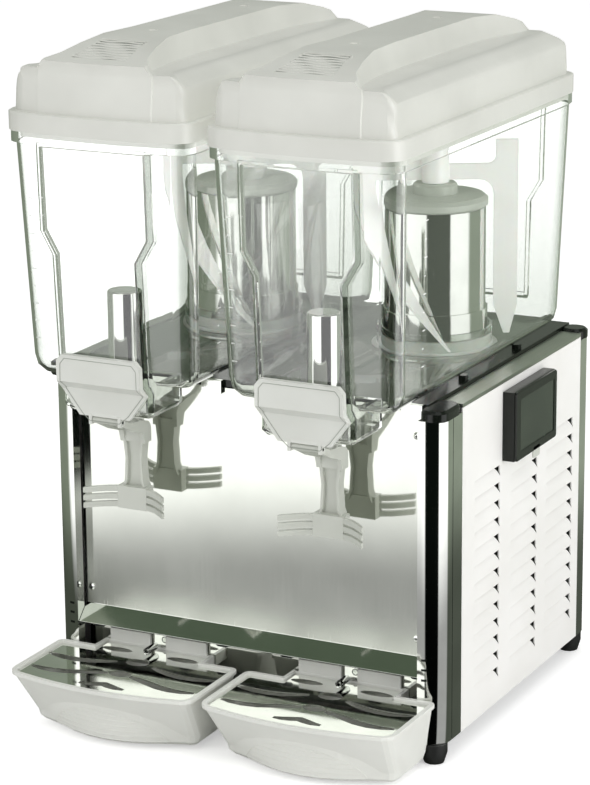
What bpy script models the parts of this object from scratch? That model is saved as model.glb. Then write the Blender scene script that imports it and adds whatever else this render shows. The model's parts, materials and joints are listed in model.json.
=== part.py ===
"""A countertop cold drink dispenser with two lift-off bowls.

Each bowl stands over a chilled steel drum and has a lid, a mixing paddle, a push-lever
tap and its own drip tray. The cabinet below holds the cooling system.

The sizes are in metres. They are written about the middle of the front panel: X runs to
the right, Y runs to the back from the panel's outer face, and Z runs up from the floor.
The empty at the root then puts the middle of the machine's box over the world's origin.
"""
import math

import bpy
import bmesh

# Whole machine
BODY_WIDTH = 0.410
HALF = BODY_WIDTH / 2
BODY_TOP = 0.333
REAR_REACH = 0.343
FOOT_HEIGHT = 0.019
UNIT_OFFSET = HALF / 2
GAP = 0.0003
CUT = 0.002
SHEET = 0.0012
CORNER_STEPS = 4
FRONT_STEPS = 8
ROUND_STEPS = 24
SMALL_STEPS = 12

# Cabinet
POST_FACE = 0.0245
POST_INNER = HALF - POST_FACE
POST_FRONT = 0.016
POST_REAR_DEPTH = 0.0245
POST_RADIUS = 0.010
POST_SHEET = 0.0015
POST_GROOVE = 0.0005
POST_GROOVE_PLACE = 0.0117
POST_SINK = 0.004
POST_TOP = BODY_TOP - POST_SINK
CAP_HEIGHT = 0.010
CAP_PROUD = 0.0015
CAP_EDGE = 0.0025
FOOT_RADIUS = 0.0125
FOOT_FOOTPRINT = 0.0095
PANEL_EDGE = 0.029
LIP_TOP = 0.099
LIP_DROP = 0.015
LIP_BOTTOM = LIP_TOP - LIP_DROP
LIP_REACH = 0.015
PANEL_FLANGE = 0.012
REAR_PANEL_FACE = REAR_REACH - POST_SHEET - GAP - SHEET
PAN_UPSTAND = 0.012
SILL_FACE = 0.0125
SILL_TOP = 0.090
DECK_RISE = 0.007
DECK_TOP = BODY_TOP + DECK_RISE
DECK_INSET = 0.0215
DECK_HALF = HALF - DECK_INSET
DECK_REAR = REAR_REACH - POST_SHEET
CAP_REAR_START = REAR_REACH - POST_REAR_DEPTH
TRIM_HEIGHT = 0.0035
PEG_RADIUS = 0.005
PEG_HEIGHT = 0.005
PEG_OFFSET = 0.074
PEG_PLACES = (0.095, 0.222)
LATCH_OFFSET = 0.0665
LATCH_WIDTH = 0.021
LATCH_THICK = 0.004
LATCH_DROP = 0.006
SCREW_RADIUS = 0.0035
SCREW_HEAD = 0.0015
SCREW_INSET = 0.032
SCREW_OFFSET = HALF - SCREW_INSET
SCREW_HEIGHTS = (0.116, 0.310)

# Louvres
LOUVRE_ROWS = 13
LOUVRE_PITCH = 0.0167
LOUVRE_OPENING = 0.0085
LOUVRE_TOP_ROW = 0.2513
LOUVRE_LEAN = 0.0045
LOUVRE_TAPER = 0.0010
# Edges of the columns, as shares of the panel's depth and of the half width.
LOUVRE_COLUMN_SHARES = ((0.169, 0.338), (0.4216, 0.606), (0.679, 0.873))
REAR_COLUMN_SHARES = ((-0.73, -0.12), (0.12, 0.73))
REAR_ROWS = 9
REAR_TOP_ROW = 0.290

# Bowl
BOWL_WALL = 0.003
BOWL_HEIGHT = 0.2377
BOWL_RIM_TOP = DECK_TOP + BOWL_HEIGHT
BOWL_RIM_HEIGHT = 0.0100
BOWL_RIM_STEP = 0.0020
BOWL_RIM_SINK = 0.0117
BOWL_WALL_TOP = BOWL_RIM_TOP - BOWL_RIM_SINK
BOWL_FLOOR_RISE = 0.0055
BOWL_FLOOR = DECK_TOP + BOWL_FLOOR_RISE
BOWL_FILLET = 0.020
BOWL_SPACING = 0.010
BOWL_TOP_HALF = UNIT_OFFSET - BOWL_SPACING
BOWL_DRAFT = 0.006
BOWL_LOW_HALF = BOWL_TOP_HALF - BOWL_DRAFT
BOWL_TOP_FRONT = 0.0885
BOWL_LOW_FRONT = 0.0785
BOWL_TOP_REAR = 0.3170
BOWL_LOW_REAR = 0.3080
BOWL_CORNER = 0.018
BOWL_BOW = 0.004
RIM_PROUD = 0.0015
RIM_HALF = BOWL_TOP_HALF + RIM_PROUD
RIM_FRONT = 0.0950
RIM_REAR = 0.3205
RIM_BOW = 0.005
COLLAR_RADIUS = 0.066
BAY_TOP_HALF = 0.0594
BAY_LOW_HALF = 0.0470
BAY_JOG_RISE = 0.148
BAY_JOG_TOP = DECK_TOP + BAY_JOG_RISE
BAY_JOG_DEPTH = 0.0214
BAY_JOG_LOW = BAY_JOG_TOP - BAY_JOG_DEPTH
BAY_TOP_FRONT = 0.0995
BAY_JOG_FRONT = 0.0968
BAY_LOW_FRONT = 0.0900
BAY_LEDGE_RISE = 0.012
BAY_LEDGE_TOP = DECK_TOP + BAY_LEDGE_RISE
BAY_LEDGE_DEPTH = 0.010
BAY_LEDGE_LOW = BAY_LEDGE_TOP - BAY_LEDGE_DEPTH
CHAMBER_FRONT = 0.0815
CHAMBER_REAR = 0.025
CHAMBER_DROP = 0.022
CHAMBER_FLOOR = DECK_TOP - CHAMBER_DROP
CHAMBER_EDGE = 0.004
REAR_BAY_DEPTH = 0.004
REAR_BAY_RISE = 0.032
REAR_BAY_FOOT = DECK_TOP + REAR_BAY_RISE
NOZZLE_RADIUS = 0.0095
NOZZLE_BORE = 0.0065
NOZZLE_LENGTH = 0.005
NOZZLE_END = CHAMBER_FLOOR - NOZZLE_LENGTH

# Lid
SKIRT_PROUD = 0.0015
SKIRT_HALF = RIM_HALF + SKIRT_PROUD
SKIRT_FRONT = 0.0965
SKIRT_REAR = 0.322
SKIRT_RADIUS = 0.020
SKIRT_BOW = 0.005
SKIRT_BOTTOM = BOWL_RIM_TOP + GAP
SKIRT_HEIGHT = 0.018
SKIRT_TOP = SKIRT_BOTTOM + SKIRT_HEIGHT
SKIRT_EDGE = 0.0010
LID_LEDGE = 0.0066
LID_WALL = 0.0025
LID_LIP = 0.006
LIP_PLAY = 0.0015
LID_CREST_INSET = 0.0275
ROOF_RISE = 0.063
ROOF_HEIGHT = SKIRT_TOP + ROOF_RISE
BROW_RISE = 0.047
BROW_HEIGHT = SKIRT_TOP + BROW_RISE
BROW_PLACE = -0.0945
ROOF_BREAK = -0.022
ROOF_REAR_BREAK = 0.235
ROOF_REAR_RISE = 0.049
ROOF_REAR_HEIGHT = SKIRT_TOP + ROOF_REAR_RISE
VALLEY_RISE = 0.0415
VALLEY_HEIGHT = SKIRT_TOP + VALLEY_RISE
HUMP_HALF = 0.030
HUMP_FRONT_FLARE = 0.0215
HUMP_REAR_FLARE = 0.016
HUMP_FLARE_START = 0.030
HUMP_REAR_START = 0.180
FLANK_WIDTH = 0.0075
ROOF_SHARES = (0.0, 0.5, 1.0)
FLANK_SHARES = ((0.30, 0.66), (0.66, 0.20), (1.0, 0.0))
CREASE_SHARE = 1.15
FLANK_TAPER_SHARE = 0.48
STATION_SHARES = (0.06, 0.15, 0.28, 0.46, 0.64, 0.78, 0.89, 0.97)
# Rings of the lid's walls for the sides, front shoulders and centre band: (share of the
# crest's inset, share of the height from skirt to valley); None follows the roof.
LID_RING_SHARES = (
    ((0.771, 0.908), (0.618, 0.995), (0.473, None)),
    ((0.538, 0.812), (0.349, 0.978), (0.273, None)),
    ((0.345, 0.718), (0.407, 0.880), (0.342, 1.024)),
    ((0.287, 0.631), (0.385, 0.723), (0.342, 0.867)),
    ((0.269, 0.458), (0.313, 0.458), (0.284, 0.578)),
)
DIMPLE_RADIUS = 0.0045
DIMPLE_DEPTH = 0.0010
DIMPLE_PLACES = (0.0195, 0.198)
GRILLE_HALF_REAR = 0.0219
GRILLE_HALF_FRONT = 0.0281
GRILLE_REAR = -0.0357
GRILLE_FRONT = -0.0815
GRILLE_SLATS = 8
GRILLE_SLOT_SHARE = 0.5

# Chilled drum, mixer and paddle
DRUM_PLACE = 0.190
DRUM_RADIUS = 0.0485
DRUM_WALL = 0.0015
DRUM_HEIGHT = 0.1415
DRUM_TOP = DECK_TOP + DRUM_HEIGHT
DRUM_FOOT_RADIUS = 0.0505
DRUM_FOOT_RISE = 0.044
DRUM_FOOT_TOP = DECK_TOP + DRUM_FOOT_RISE
DRUM_FLANGE = 0.058
FLANGE_THICK = 0.003
CAP_RADIUS = 0.0505
DRUM_CAP_RISE = 0.012
DRUM_CAP_TOP = DRUM_TOP + DRUM_CAP_RISE
DRUM_CAP_SIDE = 0.0075
DRUM_CAP_EDGE = DRUM_TOP + DRUM_CAP_SIDE
BOSS_RADIUS = 0.0212
BOSS_HEIGHT = 0.0103
BOSS_TOP = DRUM_CAP_TOP + BOSS_HEIGHT
PIN_RADIUS = 0.005
PIN_HEIGHT = 0.0182
PIN_TOP = BOSS_TOP + PIN_HEIGHT
SEAL_WALL = 0.0017
SEAL_RISE = 0.002
SEAL_TOP = DRUM_FOOT_TOP + SEAL_RISE
SEAL_FOOT_RISE = 0.004
SEAL_FOOT = DECK_TOP + SEAL_FOOT_RISE
SEAL_SKIRT = 0.060
NECK_WALL = 0.0025
NECK_HEIGHT = 0.0265
NECK_TOP = DECK_TOP + NECK_HEIGHT
HUB_RADIUS = 0.0132
HUB_RISE = 0.0235
HUB_TOP = PIN_TOP + HUB_RISE
HUB_CLEARANCE = 0.0006
ARM_SINK = 0.0006
ARM_TOP = PIN_TOP - ARM_SINK
ARM_CLEARANCE = 0.0022
ARM_BOTTOM = BOSS_TOP + ARM_CLEARANCE
BLADE_INNER = 0.0557
BLADE_CLEARANCE = 0.008
BLADE_OUTER = BOWL_LOW_HALF - BLADE_CLEARANCE
BLADE_SINK = 0.0011
BLADE_TOP = HUB_TOP - BLADE_SINK
BLADE_RISE = 0.0155
BLADE_BOTTOM = DECK_TOP + BLADE_RISE
BLADE_THICK = 0.003
BLADE_AZIMUTH = 27.0
BLADE_SWEEP = 98.0
BLADE_STEPS = 12
MOTOR_RADIUS = 0.030
MOTOR_LENGTH = 0.045
SHAFT_RADIUS = 0.003
MAGNET_RADIUS = 0.035
MAGNET_DROP = 0.0195
MAGNET_LOW = DRUM_TOP - MAGNET_DROP
MAGNET_THICK = 0.014

# Tap
COVER_FRONT = 0.0980
COVER_STEP = 0.0110
COVER_RISE = 0.035
COVER_TOP = DECK_TOP + COVER_RISE
COVER_DROP = 0.0235
COVER_BOTTOM = DECK_TOP - COVER_DROP
COVER_HALF = 0.0440
# Rows of the cover from its top down: share of its height, of its half width and of its step.
COVER_ROW_SHARES = (
    (1.0, 0.875, 0.0), (0.897, 0.989, 0.0), (0.562, 0.989, 0.0), (0.398, 1.0, 1.0), (0.0, 0.602, 1.0),
)
COVER_BORDER = 0.0045
COVER_RECESS = 0.0010
EAR_INNER = 0.0138
EAR_OUTER = 0.0168
EAR_DROP = 0.008
EAR_BOTTOM = COVER_BOTTOM - EAR_DROP
PIVOT_PLACE = -0.0825
PIVOT_RISE = 0.004
PIVOT_HEIGHT = EAR_BOTTOM + PIVOT_RISE
PIVOT_PIN = 0.0015
BARREL_RADIUS = 0.0035
BARREL_HALF = 0.0135
CHEEK_INNER = 0.0085
BRIDGE_DROP = 0.0086
BRIDGE_HEIGHT = PIVOT_HEIGHT - BRIDGE_DROP
BRIDGE_RADIUS = 0.0015
STEM_PLACE = -0.0305
STEM_HALF = 0.0085
STEM_FOOT_HALF = 0.0098
STEM_DEPTH = 0.012
STEM_WEB = 0.004
STEM_FLANGE = 0.0025
STEM_DROP = 0.0119
STEM_TOP = BRIDGE_HEIGHT - STEM_DROP
STEM_LENGTH = 0.0558
PUSHER_TOP = STEM_TOP - STEM_LENGTH
PUSHER_HEIGHT = 0.0202
PUSHER_BOTTOM = PUSHER_TOP - PUSHER_HEIGHT
PUSHER_HALF = 0.0425
BLOCK_PROUD = 0.0008
PUSHER_FRONT = 0.0407
PUSHER_BOW = 0.0180
PUSHER_THICK = 0.005
PUSHER_BLOCK = 0.0155
PUSHER_SLOT = 0.0023
VALVE_PLACE = -0.0445
SLEEVE_RADIUS = 0.0156
SLEEVE_WALL = 0.0012
SLEEVE_RISE = 0.0885
SLEEVE_TOP = DECK_TOP + SLEEVE_RISE
SLEEVE_WINDOW = 0.012
PISTON_RADIUS = 0.0130
PISTON_HEIGHT = 0.008
STOPPER_RADIUS = 0.0095
STOPPER_HEIGHT = 0.003
ROD_RADIUS = 0.003
ROD_RISE = 0.055
ROD_TOP = DECK_TOP + ROD_RISE

# Drip tray
TRAY_RIM_TOP = 0.0635
TRAY_BOTTOM = 0.0040
TRAY_SPACING = 0.0065
TRAY_HALF = UNIT_OFFSET - TRAY_SPACING
TRAY_FRONT = 0.1150
TRAY_BOW = 0.0100
TRAY_CORNER = 0.013
TRAY_REAR_CORNER = 0.005
TRAY_DRAFT = 0.0065
TRAY_LOW_HALF = TRAY_HALF - TRAY_DRAFT
TRAY_LOW_FRONT = 0.0850
TRAY_LOW_BOW = 0.0040
FAN_HALF = 0.0670
FAN_BULGE = 0.0185
FAN_TOP = 0.0400
TRAY_FILLET = 0.012
TRAY_WALL = 0.0025
TRAY_RIM = 0.0035
TRAY_BEAD = 0.0022
TRAY_REAR = -(POST_FRONT + GAP + TRAY_BEAD)
TONGUE_HALF = 0.060
TONGUE_REACH = 0.0055
TONGUE_DEPTH = 0.0110
FLAP_INNER = 0.0085
FLAP_OUTER = 0.0530
FLAP_TOP = 0.0755
FLAP_THICK = 0.003
GRID_HEIGHT = 0.0600
GRID_THICK = 0.0010
GRID_PLAY = 0.0010
LEDGE_WIDTH = 0.0030
SLOT_WIDTH = 0.0105
# Drain slots of the plate, as shares of the tray's half width and of its front reach.
FRONT_SLOT_SHARES = (
    (0.125, -0.639), (0.219, -0.663), (0.375, -0.709), (0.521, -0.755),
    (0.667, -0.776), (0.802, -0.772), (0.917, -0.750),
)
REAR_SLOT_SHARES = (
    (0.198, -0.374), (0.312, -0.417), (0.448, -0.454), (0.583, -0.474),
    (0.729, -0.472), (0.854, -0.452), (0.948, -0.426),
)
BROW_SLOT_SHARES = (
    (-0.250, -0.927), (-0.167, -0.923), (-0.083, -0.904), (0.000, -0.878),
    (0.083, -0.904), (0.167, -0.923), (0.250, -0.927),
)
OVAL_SHARES = (
    (0.000, -0.617, 0.120, 0.068),
    (0.000, -0.330, 0.127, 0.077),
    (0.375, -0.122, 0.177, 0.048),
    (-0.375, -0.122, 0.177, 0.048),
)
BRACKET_FACE = 0.0065
BRACKET_BOTTOM = 0.050
BRACKET_TOP = 0.0815
BRACKET_HOLE = 0.0025
BRACKET_HOLE_LENGTH = 0.014
BRACKET_HOLE_HEIGHT = 0.0755
BRACKET_HOLE_OFFSET = 0.068

# Control box
BOX_FRONT = 0.1210
BOX_REAR = 0.2205
BOX_SINK = 0.008
BOX_TOP = BODY_TOP - BOX_SINK
BOX_HEIGHT = 0.067
BOX_BOTTOM = BOX_TOP - BOX_HEIGHT
BOX_PROUD = 0.012
BOX_WALL = 0.005
BOX_BACK = 0.0025
COVER_SHEET = 0.002
ROCKER_HALF = 0.009
ROCKER_HEIGHT = 0.024
ROCKER_REACH = 0.006
ROCKER_TILT = 7.0
ROCKER_PLACES = (0.140, 0.166)
KNOB_PLACE = 0.197
KNOB_RADIUS = 0.0105
KNOB_REACH = 0.0065

# Cooling system
COMPRESSOR_PLACE = (-0.095, 0.200)
COMPRESSOR_RADIUS = 0.060
COMPRESSOR_HEIGHT = 0.150
CONDENSER_INSET = 0.040
CONDENSER_SIDE = HALF - CONDENSER_INSET
CONDENSER_THICK = 0.036
CONDENSER_FRONT = 0.060
CONDENSER_REAR_ROOM = 0.0500
CONDENSER_REAR = REAR_PANEL_FACE - CONDENSER_REAR_ROOM
CONDENSER_BOTTOM = 0.033
CONDENSER_TOP = 0.245
CONDENSER_FINS = 16
CONDENSER_FIN_SHARE = 0.45
CONDENSER_FIN_DEPTH = 0.010
FAN_PLACE = (0.112, 0.175, 0.145)
FAN_RADIUS = 0.085
FAN_HUB = 0.018
FAN_DEPTH = 0.016
FAN_BLADES = 5
FAN_SHEET = 0.0015
FAN_ROOT_ANGLE = 17.0
FAN_TIP_ANGLE = 20.5
FAN_MOTOR_RADIUS = 0.028
FAN_MOTOR_LENGTH = 0.050
FAN_BRACKET = 0.010
GLAND_PLACE = (-0.150, 0.060)
GLAND_RADIUS = 0.010
GLAND_REACH = 0.009

# Finishes: colour, roughness, metallic
FINISHES = {
    "polished steel": ((0.80, 0.81, 0.79), 0.12, 1.0),
    "dark steel": ((0.30, 0.31, 0.30), 0.45, 1.0),
    "white enamel": ((0.90, 0.89, 0.87), 0.35, 0.0),
    "lid plastic": ((0.73, 0.73, 0.69), 0.40, 0.0),
    "tap plastic": ((0.60, 0.61, 0.57), 0.40, 0.0),
    "paddle plastic": ((0.82, 0.83, 0.80), 0.35, 0.0),
    "clear plastic": ((0.93, 0.95, 0.93), 0.05, 0.0),
    "cap plastic": ((0.36, 0.40, 0.35), 0.40, 0.0),
    "seal rubber": ((0.62, 0.64, 0.61), 0.60, 0.0),
    "black plastic": ((0.012, 0.013, 0.012), 0.35, 0.0),
    "smoked plastic": ((0.03, 0.035, 0.03), 0.15, 0.0),
    "black enamel": ((0.02, 0.02, 0.02), 0.40, 0.0),
}

BOX_FACE = HALF + GAP + BOX_PROUD
COVER_FACE = BOX_FACE + GAP + COVER_SHEET
FRONT_REACH = TRAY_FRONT + TRAY_BOW + TRAY_BEAD
GLAND_FACE = REAR_PANEL_FACE + SHEET + GAP
BACK_REACH = GLAND_FACE + GLAND_REACH
CENTRE = ((COVER_FACE - HALF - CAP_PROUD) / 2, (BACK_REACH - FRONT_REACH) / 2, 0.0)
SIDES = {"left": -1.0, "right": 1.0}
NECK_INNER = DRUM_FOOT_RADIUS + GAP + SEAL_WALL + GAP
BAND_COLUMN = len(ROOF_SHARES) + len(FLANK_SHARES) - 1


def clear_scene():
    """Remove every object, so that the file always starts empty."""
    for thing in list(bpy.data.objects):
        bpy.data.objects.remove(thing, do_unlink=True)


def paint(thing, finish):
    """Give an object a material of its own in one of the finishes."""
    colour, roughness, metallic = FINISHES[finish]
    material = bpy.data.materials.new(thing.name + " " + finish)
    material.use_nodes = True
    shader = material.node_tree.nodes["Principled BSDF"]
    shader.inputs["Base Color"].default_value = (*colour, 1.0)
    shader.inputs["Roughness"].default_value = roughness
    shader.inputs["Metallic"].default_value = metallic
    if finish == "clear plastic":
        shader.inputs["Transmission Weight"].default_value = 1.0
    thing.data.materials.append(material)


def add(name, shape, finish, root, origin=(0.0, 0.0, 0.0)):
    """Make one named object from (points, faces), with its origin where it turns."""
    points, faces = shape
    mesh = bpy.data.meshes.new(name)
    mesh.from_pydata([[a - b for a, b in zip(p, origin)] for p in points], [], faces)
    work = bmesh.new()
    work.from_mesh(mesh)
    bmesh.ops.recalc_face_normals(work, faces=work.faces)
    work.to_mesh(mesh)
    work.free()
    thing = bpy.data.objects.new(name, mesh)
    bpy.context.scene.collection.objects.link(thing)
    thing.parent = root
    thing.location = origin
    if finish:
        paint(thing, finish)
    return thing


def smooth(thing, degrees=35.0):
    """Shade a round piece smooth, with its real edges kept sharp."""
    thing.data.shade_smooth()
    thing.data.set_sharp_from_angle(angle=math.radians(degrees))
    return thing


def tool(name, shape, root):
    """A shape that only cuts or joins others."""
    thing = add(name, shape, None, root)
    thing.hide_render = True
    thing.display_type = "WIRE"
    return thing


def combine(thing, helper, operation):
    """Join a tool to an object, or cut it away."""
    modifier = thing.modifiers.new(helper.name, "BOOLEAN")
    modifier.operation = operation
    modifier.object = helper
    modifier.solver = "EXACT"
    return thing


def cut(thing, helper):
    return combine(thing, helper, "DIFFERENCE")


def join(thing, helper):
    return combine(thing, helper, "UNION")


def together(*shapes):
    """Several separate solids as one shape."""
    points, faces = [], []
    for part_points, part_faces in shapes:
        start = len(points)
        points += part_points
        faces += [tuple(start + i for i in face) for face in part_faces]
    return points, faces


def mirrored(shape):
    """The same shape on the other side of the middle."""
    points, faces = shape
    return [(-x, y, z) for x, y, z in points], [tuple(reversed(face)) for face in faces]


def moved(shape, dx=0.0, dy=0.0, dz=0.0):
    points, faces = shape
    return [(x + dx, y + dy, z + dz) for x, y, z in points], faces


def loft(rings, closed=False):
    """Skin a row of rings of equal length, capped at both ends or closed on itself."""
    count = len(rings[0])
    points = [tuple(p) for ring in rings for p in ring]
    faces = []
    pairs = list(zip(range(len(rings)), range(1, len(rings))))
    if closed:
        pairs.append((len(rings) - 1, 0))
    for low, high in pairs:
        for i in range(count):
            j = (i + 1) % count
            faces.append((low * count + i, low * count + j, high * count + j, high * count + i))
    if not closed:
        faces.append(tuple(reversed(range(count))))
        faces.append(tuple(range(len(points) - count, len(points))))
    return points, faces


def prism(outline, axis, low, high):
    """Push a flat outline along an axis; it is (y, z), (x, z) or (x, y) for x, y or z."""
    place = {
        "x": lambda a, b, c: (c, a, b),
        "y": lambda a, b, c: (a, c, b),
        "z": lambda a, b, c: (a, b, c),
    }[axis]
    return loft([[place(a, b, c) for a, b in outline] for c in (low, high)])


def block(x0, x1, y0, y1, z0, z1):
    return prism([(x0, y0), (x1, y0), (x1, y1), (x0, y1)], "z", z0, z1)


def turned(profile, centre=(0.0, 0.0), steps=ROUND_STEPS, axis="z"):
    """Revolve a closed (radius, height) profile; its ends may lie on the axis."""
    points, faces = [], []
    rows = []
    for radius, height in profile:
        if radius == 0:
            rows.append([len(points)] * steps)
            points.append((0.0, 0.0, height))
            continue
        rows.append(list(range(len(points), len(points) + steps)))
        for i in range(steps):
            angle = math.tau * i / steps
            points.append((radius * math.cos(angle), radius * math.sin(angle), height))
    on_axis = profile[0][0] == 0 and profile[-1][0] == 0
    last = len(rows) - 1 if on_axis else len(rows)
    for r in range(last):
        low, high = rows[r], rows[(r + 1) % len(rows)]
        for i in range(steps):
            j = (i + 1) % steps
            face = (low[i], low[j], high[j], high[i])
            faces.append(tuple(dict.fromkeys(face)))
    swap = {
        "z": lambda p: (p[0] + centre[0], p[1] + centre[1], p[2]),
        "x": lambda p: (p[2], p[0] + centre[0], p[1] + centre[1]),
        "y": lambda p: (p[0] + centre[0], p[2], p[1] + centre[1]),
    }[axis]
    return [swap(p) for p in points], faces


def rod(radius, low, high, centre=(0.0, 0.0), steps=SMALL_STEPS, axis="z"):
    return turned([(0.0, low), (radius, low), (radius, high), (0.0, high)], centre, steps, axis)


def arc(cx, cy, radius, start, stop, steps=CORNER_STEPS):
    """Points of an arc with both ends, from one angle to another in degrees."""
    turns = [math.radians(start + (stop - start) * i / steps) for i in range(steps + 1)]
    return [(cx + radius * math.cos(t), cy + radius * math.sin(t)) for t in turns]


def plan(half, front, rear, radius, bow=0.0, rear_radius=None):
    """Plan outline with round corners and a front edge that bows outward."""
    back = radius if rear_radius is None else rear_radius
    flat = half - radius
    points = []
    for i in range(FRONT_STEPS + 1):
        share = 2.0 * i / FRONT_STEPS - 1.0
        points.append((flat * share, -front - bow * (1.0 - share * share)))
    points += arc(flat, radius - front, radius, -90, 0)[1:]
    points += arc(half - back, rear - back, back, 0, 90)
    points += arc(back - half, rear - back, back, 90, 180)
    points += arc(-flat, radius - front, radius, 180, 270)[:-1]
    return points


def ring(outline, height):
    return [(x, y, height) for x, y in outline]


def rounded(x0, x1, y0, y1, radius, steps=3):
    """Plain rectangle with four round corners."""
    return (
        arc(x1 - radius, y0 + radius, radius, -90, 0, steps)
        + arc(x1 - radius, y1 - radius, radius, 0, 90, steps)
        + arc(x0 + radius, y1 - radius, radius, 90, 180, steps)
        + arc(x0 + radius, y0 + radius, radius, 180, 270, steps)
    )


# Cabinet


def post_outline():
    """Folded steel corner post, open to the inside, seen from above at the right front."""
    inner, outer = POST_INNER, HALF
    radius, sheet = POST_RADIUS, POST_SHEET
    groove = POST_GROOVE_PLACE
    outside = [(inner, PANEL_FLANGE), (inner, -POST_FRONT)]
    outside += arc(outer - radius, radius - POST_FRONT, radius, -90, 0)
    outside += [(outer, groove - POST_GROOVE), (outer - POST_GROOVE, groove)]
    outside += [(outer, groove + POST_GROOVE), (outer, PANEL_EDGE - GAP)]
    inside = [(outer - sheet, PANEL_EDGE - GAP)]
    inside += arc(outer - radius, radius - POST_FRONT, radius - sheet, 0, -90)
    inside += [(inner + sheet, sheet - POST_FRONT), (inner + sheet, PANEL_FLANGE)]
    return outside + inside


def rear_post_outline():
    """Rear corner post, with its flange behind the rear panel."""
    front, rear, radius, sheet = REAR_REACH - POST_REAR_DEPTH, REAR_REACH, POST_RADIUS, POST_SHEET
    outside = [(HALF, front)] + arc(HALF - radius, rear - radius, radius, 0, 90)
    outside += [(POST_INNER, rear), (POST_INNER, rear - sheet)]
    inside = arc(HALF - radius, rear - radius, radius - sheet, 90, 0) + [(HALF - sheet, front)]
    return outside + inside


def make_posts(root):
    front = prism(post_outline(), "z", FOOT_HEIGHT + GAP, POST_TOP)
    rear = prism(rear_post_outline(), "z", FOOT_HEIGHT + GAP, POST_TOP)
    for side, sign in SIDES.items():
        for name, shape in (("front", front), ("rear", rear)):
            shape = shape if sign > 0 else mirrored(shape)
            smooth(add("corner_post_%s_%s" % (name, side), shape, "polished steel", root))


def cap_shape(front, rear):
    """Moulded cap on a post, with a chamfered top edge."""
    low, high = POST_TOP + GAP, POST_TOP + CAP_HEIGHT
    inner, outer = POST_INNER, HALF + CAP_PROUD
    radius = POST_RADIUS + CAP_PROUD
    edge = CAP_EDGE
    wide = rounded(inner, outer, front, rear, radius)
    top = rounded(inner + edge, outer - edge, front + edge, rear - edge, radius - edge)
    return loft([ring(wide, low), ring(wide, high - edge), ring(top, high)])


def make_feet(root):
    for end, y in (("front", FOOT_RADIUS - POST_FRONT), ("rear", REAR_REACH - FOOT_RADIUS)):
        profile = [(0.0, 0.0), (FOOT_FOOTPRINT, 0.0), (FOOT_RADIUS, FOOT_HEIGHT / 2)]
        profile += [(FOOT_RADIUS, FOOT_HEIGHT), (0.0, FOOT_HEIGHT)]
        for side, sign in SIDES.items():
            foot = turned(profile, (sign * (HALF - FOOT_RADIUS), y), SMALL_STEPS)
            smooth(add("foot_%s_%s" % (end, side), foot, "black plastic", root))


def screw_heads(face, sign):
    """Round screw heads on the front or rear panel; sign is the way that they face."""
    heads = []
    for x in (-SCREW_OFFSET, SCREW_OFFSET):
        for z in SCREW_HEIGHTS:
            sunk, head = face - sign * SHEET / 2, face + sign * SCREW_HEAD
            profile = [(0.0, sunk), (SCREW_RADIUS, sunk), (SCREW_RADIUS, (face + head) / 2)]
            profile += [(SCREW_RADIUS / 2, head), (0.0, head)]
            heads.append(turned(profile, (x, z), SMALL_STEPS, "y"))
    return together(*heads)


def make_front_panel(root):
    """Bent sheet: a flange at the top and an outward lip over the drip trays."""
    sheet = SHEET
    top = BODY_TOP - GAP
    profile = [
        (0.0, top), (0.0, LIP_TOP), (-LIP_REACH, LIP_BOTTOM), (sheet - LIP_REACH, LIP_BOTTOM - sheet),
        (sheet, LIP_TOP - sheet), (sheet, top - sheet), (PANEL_FLANGE, top - sheet), (PANEL_FLANGE, top),
    ]
    edge = POST_INNER - GAP
    panel = add("front_panel", prism(profile, "x", -edge, edge), "polished steel", root)
    join(panel, tool("front_panel_screws", screw_heads(0.0, -1.0), root))


def make_base_pan(root):
    """Steel pan with a low upstand all round and a tall one behind the drip trays."""
    x, y0, y1 = HALF - SHEET - GAP, SILL_FACE, REAR_PANEL_FACE - GAP
    low, high, sheet = FOOT_HEIGHT + GAP, FOOT_HEIGHT + PAN_UPSTAND, SHEET
    edge = POST_INNER - GAP
    outline = [(-edge, y0), (edge, y0), (edge, PANEL_EDGE), (x, PANEL_EDGE), (x, y1 - POST_REAR_DEPTH)]
    outline += [(edge, y1 - POST_REAR_DEPTH), (edge, y1), (-edge, y1), (-edge, y1 - POST_REAR_DEPTH)]
    outline += [(-x, y1 - POST_REAR_DEPTH), (-x, PANEL_EDGE), (-edge, PANEL_EDGE)]
    pan = add("base_pan", prism(outline, "z", low, high), "dark steel", root)
    hollow = block(sheet - edge, edge - sheet, y0 + sheet, y1 - sheet, low + sheet, high + CUT)
    cut(pan, tool("base_pan_hollow", hollow, root))
    sill = block(-edge, edge, y0, y0 + sheet, low, SILL_TOP)
    join(pan, tool("base_pan_sill", sill, root))


def louvred_sheet(width, low, high, columns, rows, first_row, skip=None):
    """Open surface of a louvred sheet in (across, up, inward) coordinates.

    Every louvre stays joined to the sheet at its lower edge and leans inward at the top.
    """
    across = [width[0]] + [edge for column in columns for edge in column] + [width[1]]
    up = [low]
    for row in reversed(range(rows)):
        middle = first_row - row * LOUVRE_PITCH
        up += [middle - LOUVRE_OPENING / 2, middle + LOUVRE_OPENING / 2]
    up.append(high)
    points = [(a, b, 0.0) for b in up for a in across]
    faces = []
    for j in range(len(up) - 1):
        for i in range(len(across) - 1):
            corner = j * len(across) + i
            opening = i % 2 == 1 and j % 2 == 1 and (i, j) != skip
            if not opening:
                faces.append((corner, corner + 1, corner + 1 + len(across), corner + len(across)))
                continue
            height = up[j + 1] - LOUVRE_TAPER
            leaf = len(points)
            points.append((across[i] + LOUVRE_TAPER, height, LOUVRE_LEAN))
            points.append((across[i + 1] - LOUVRE_TAPER, height, LOUVRE_LEAN))
            faces.append((corner, corner + 1, leaf + 1, leaf))
    return points, faces


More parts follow.
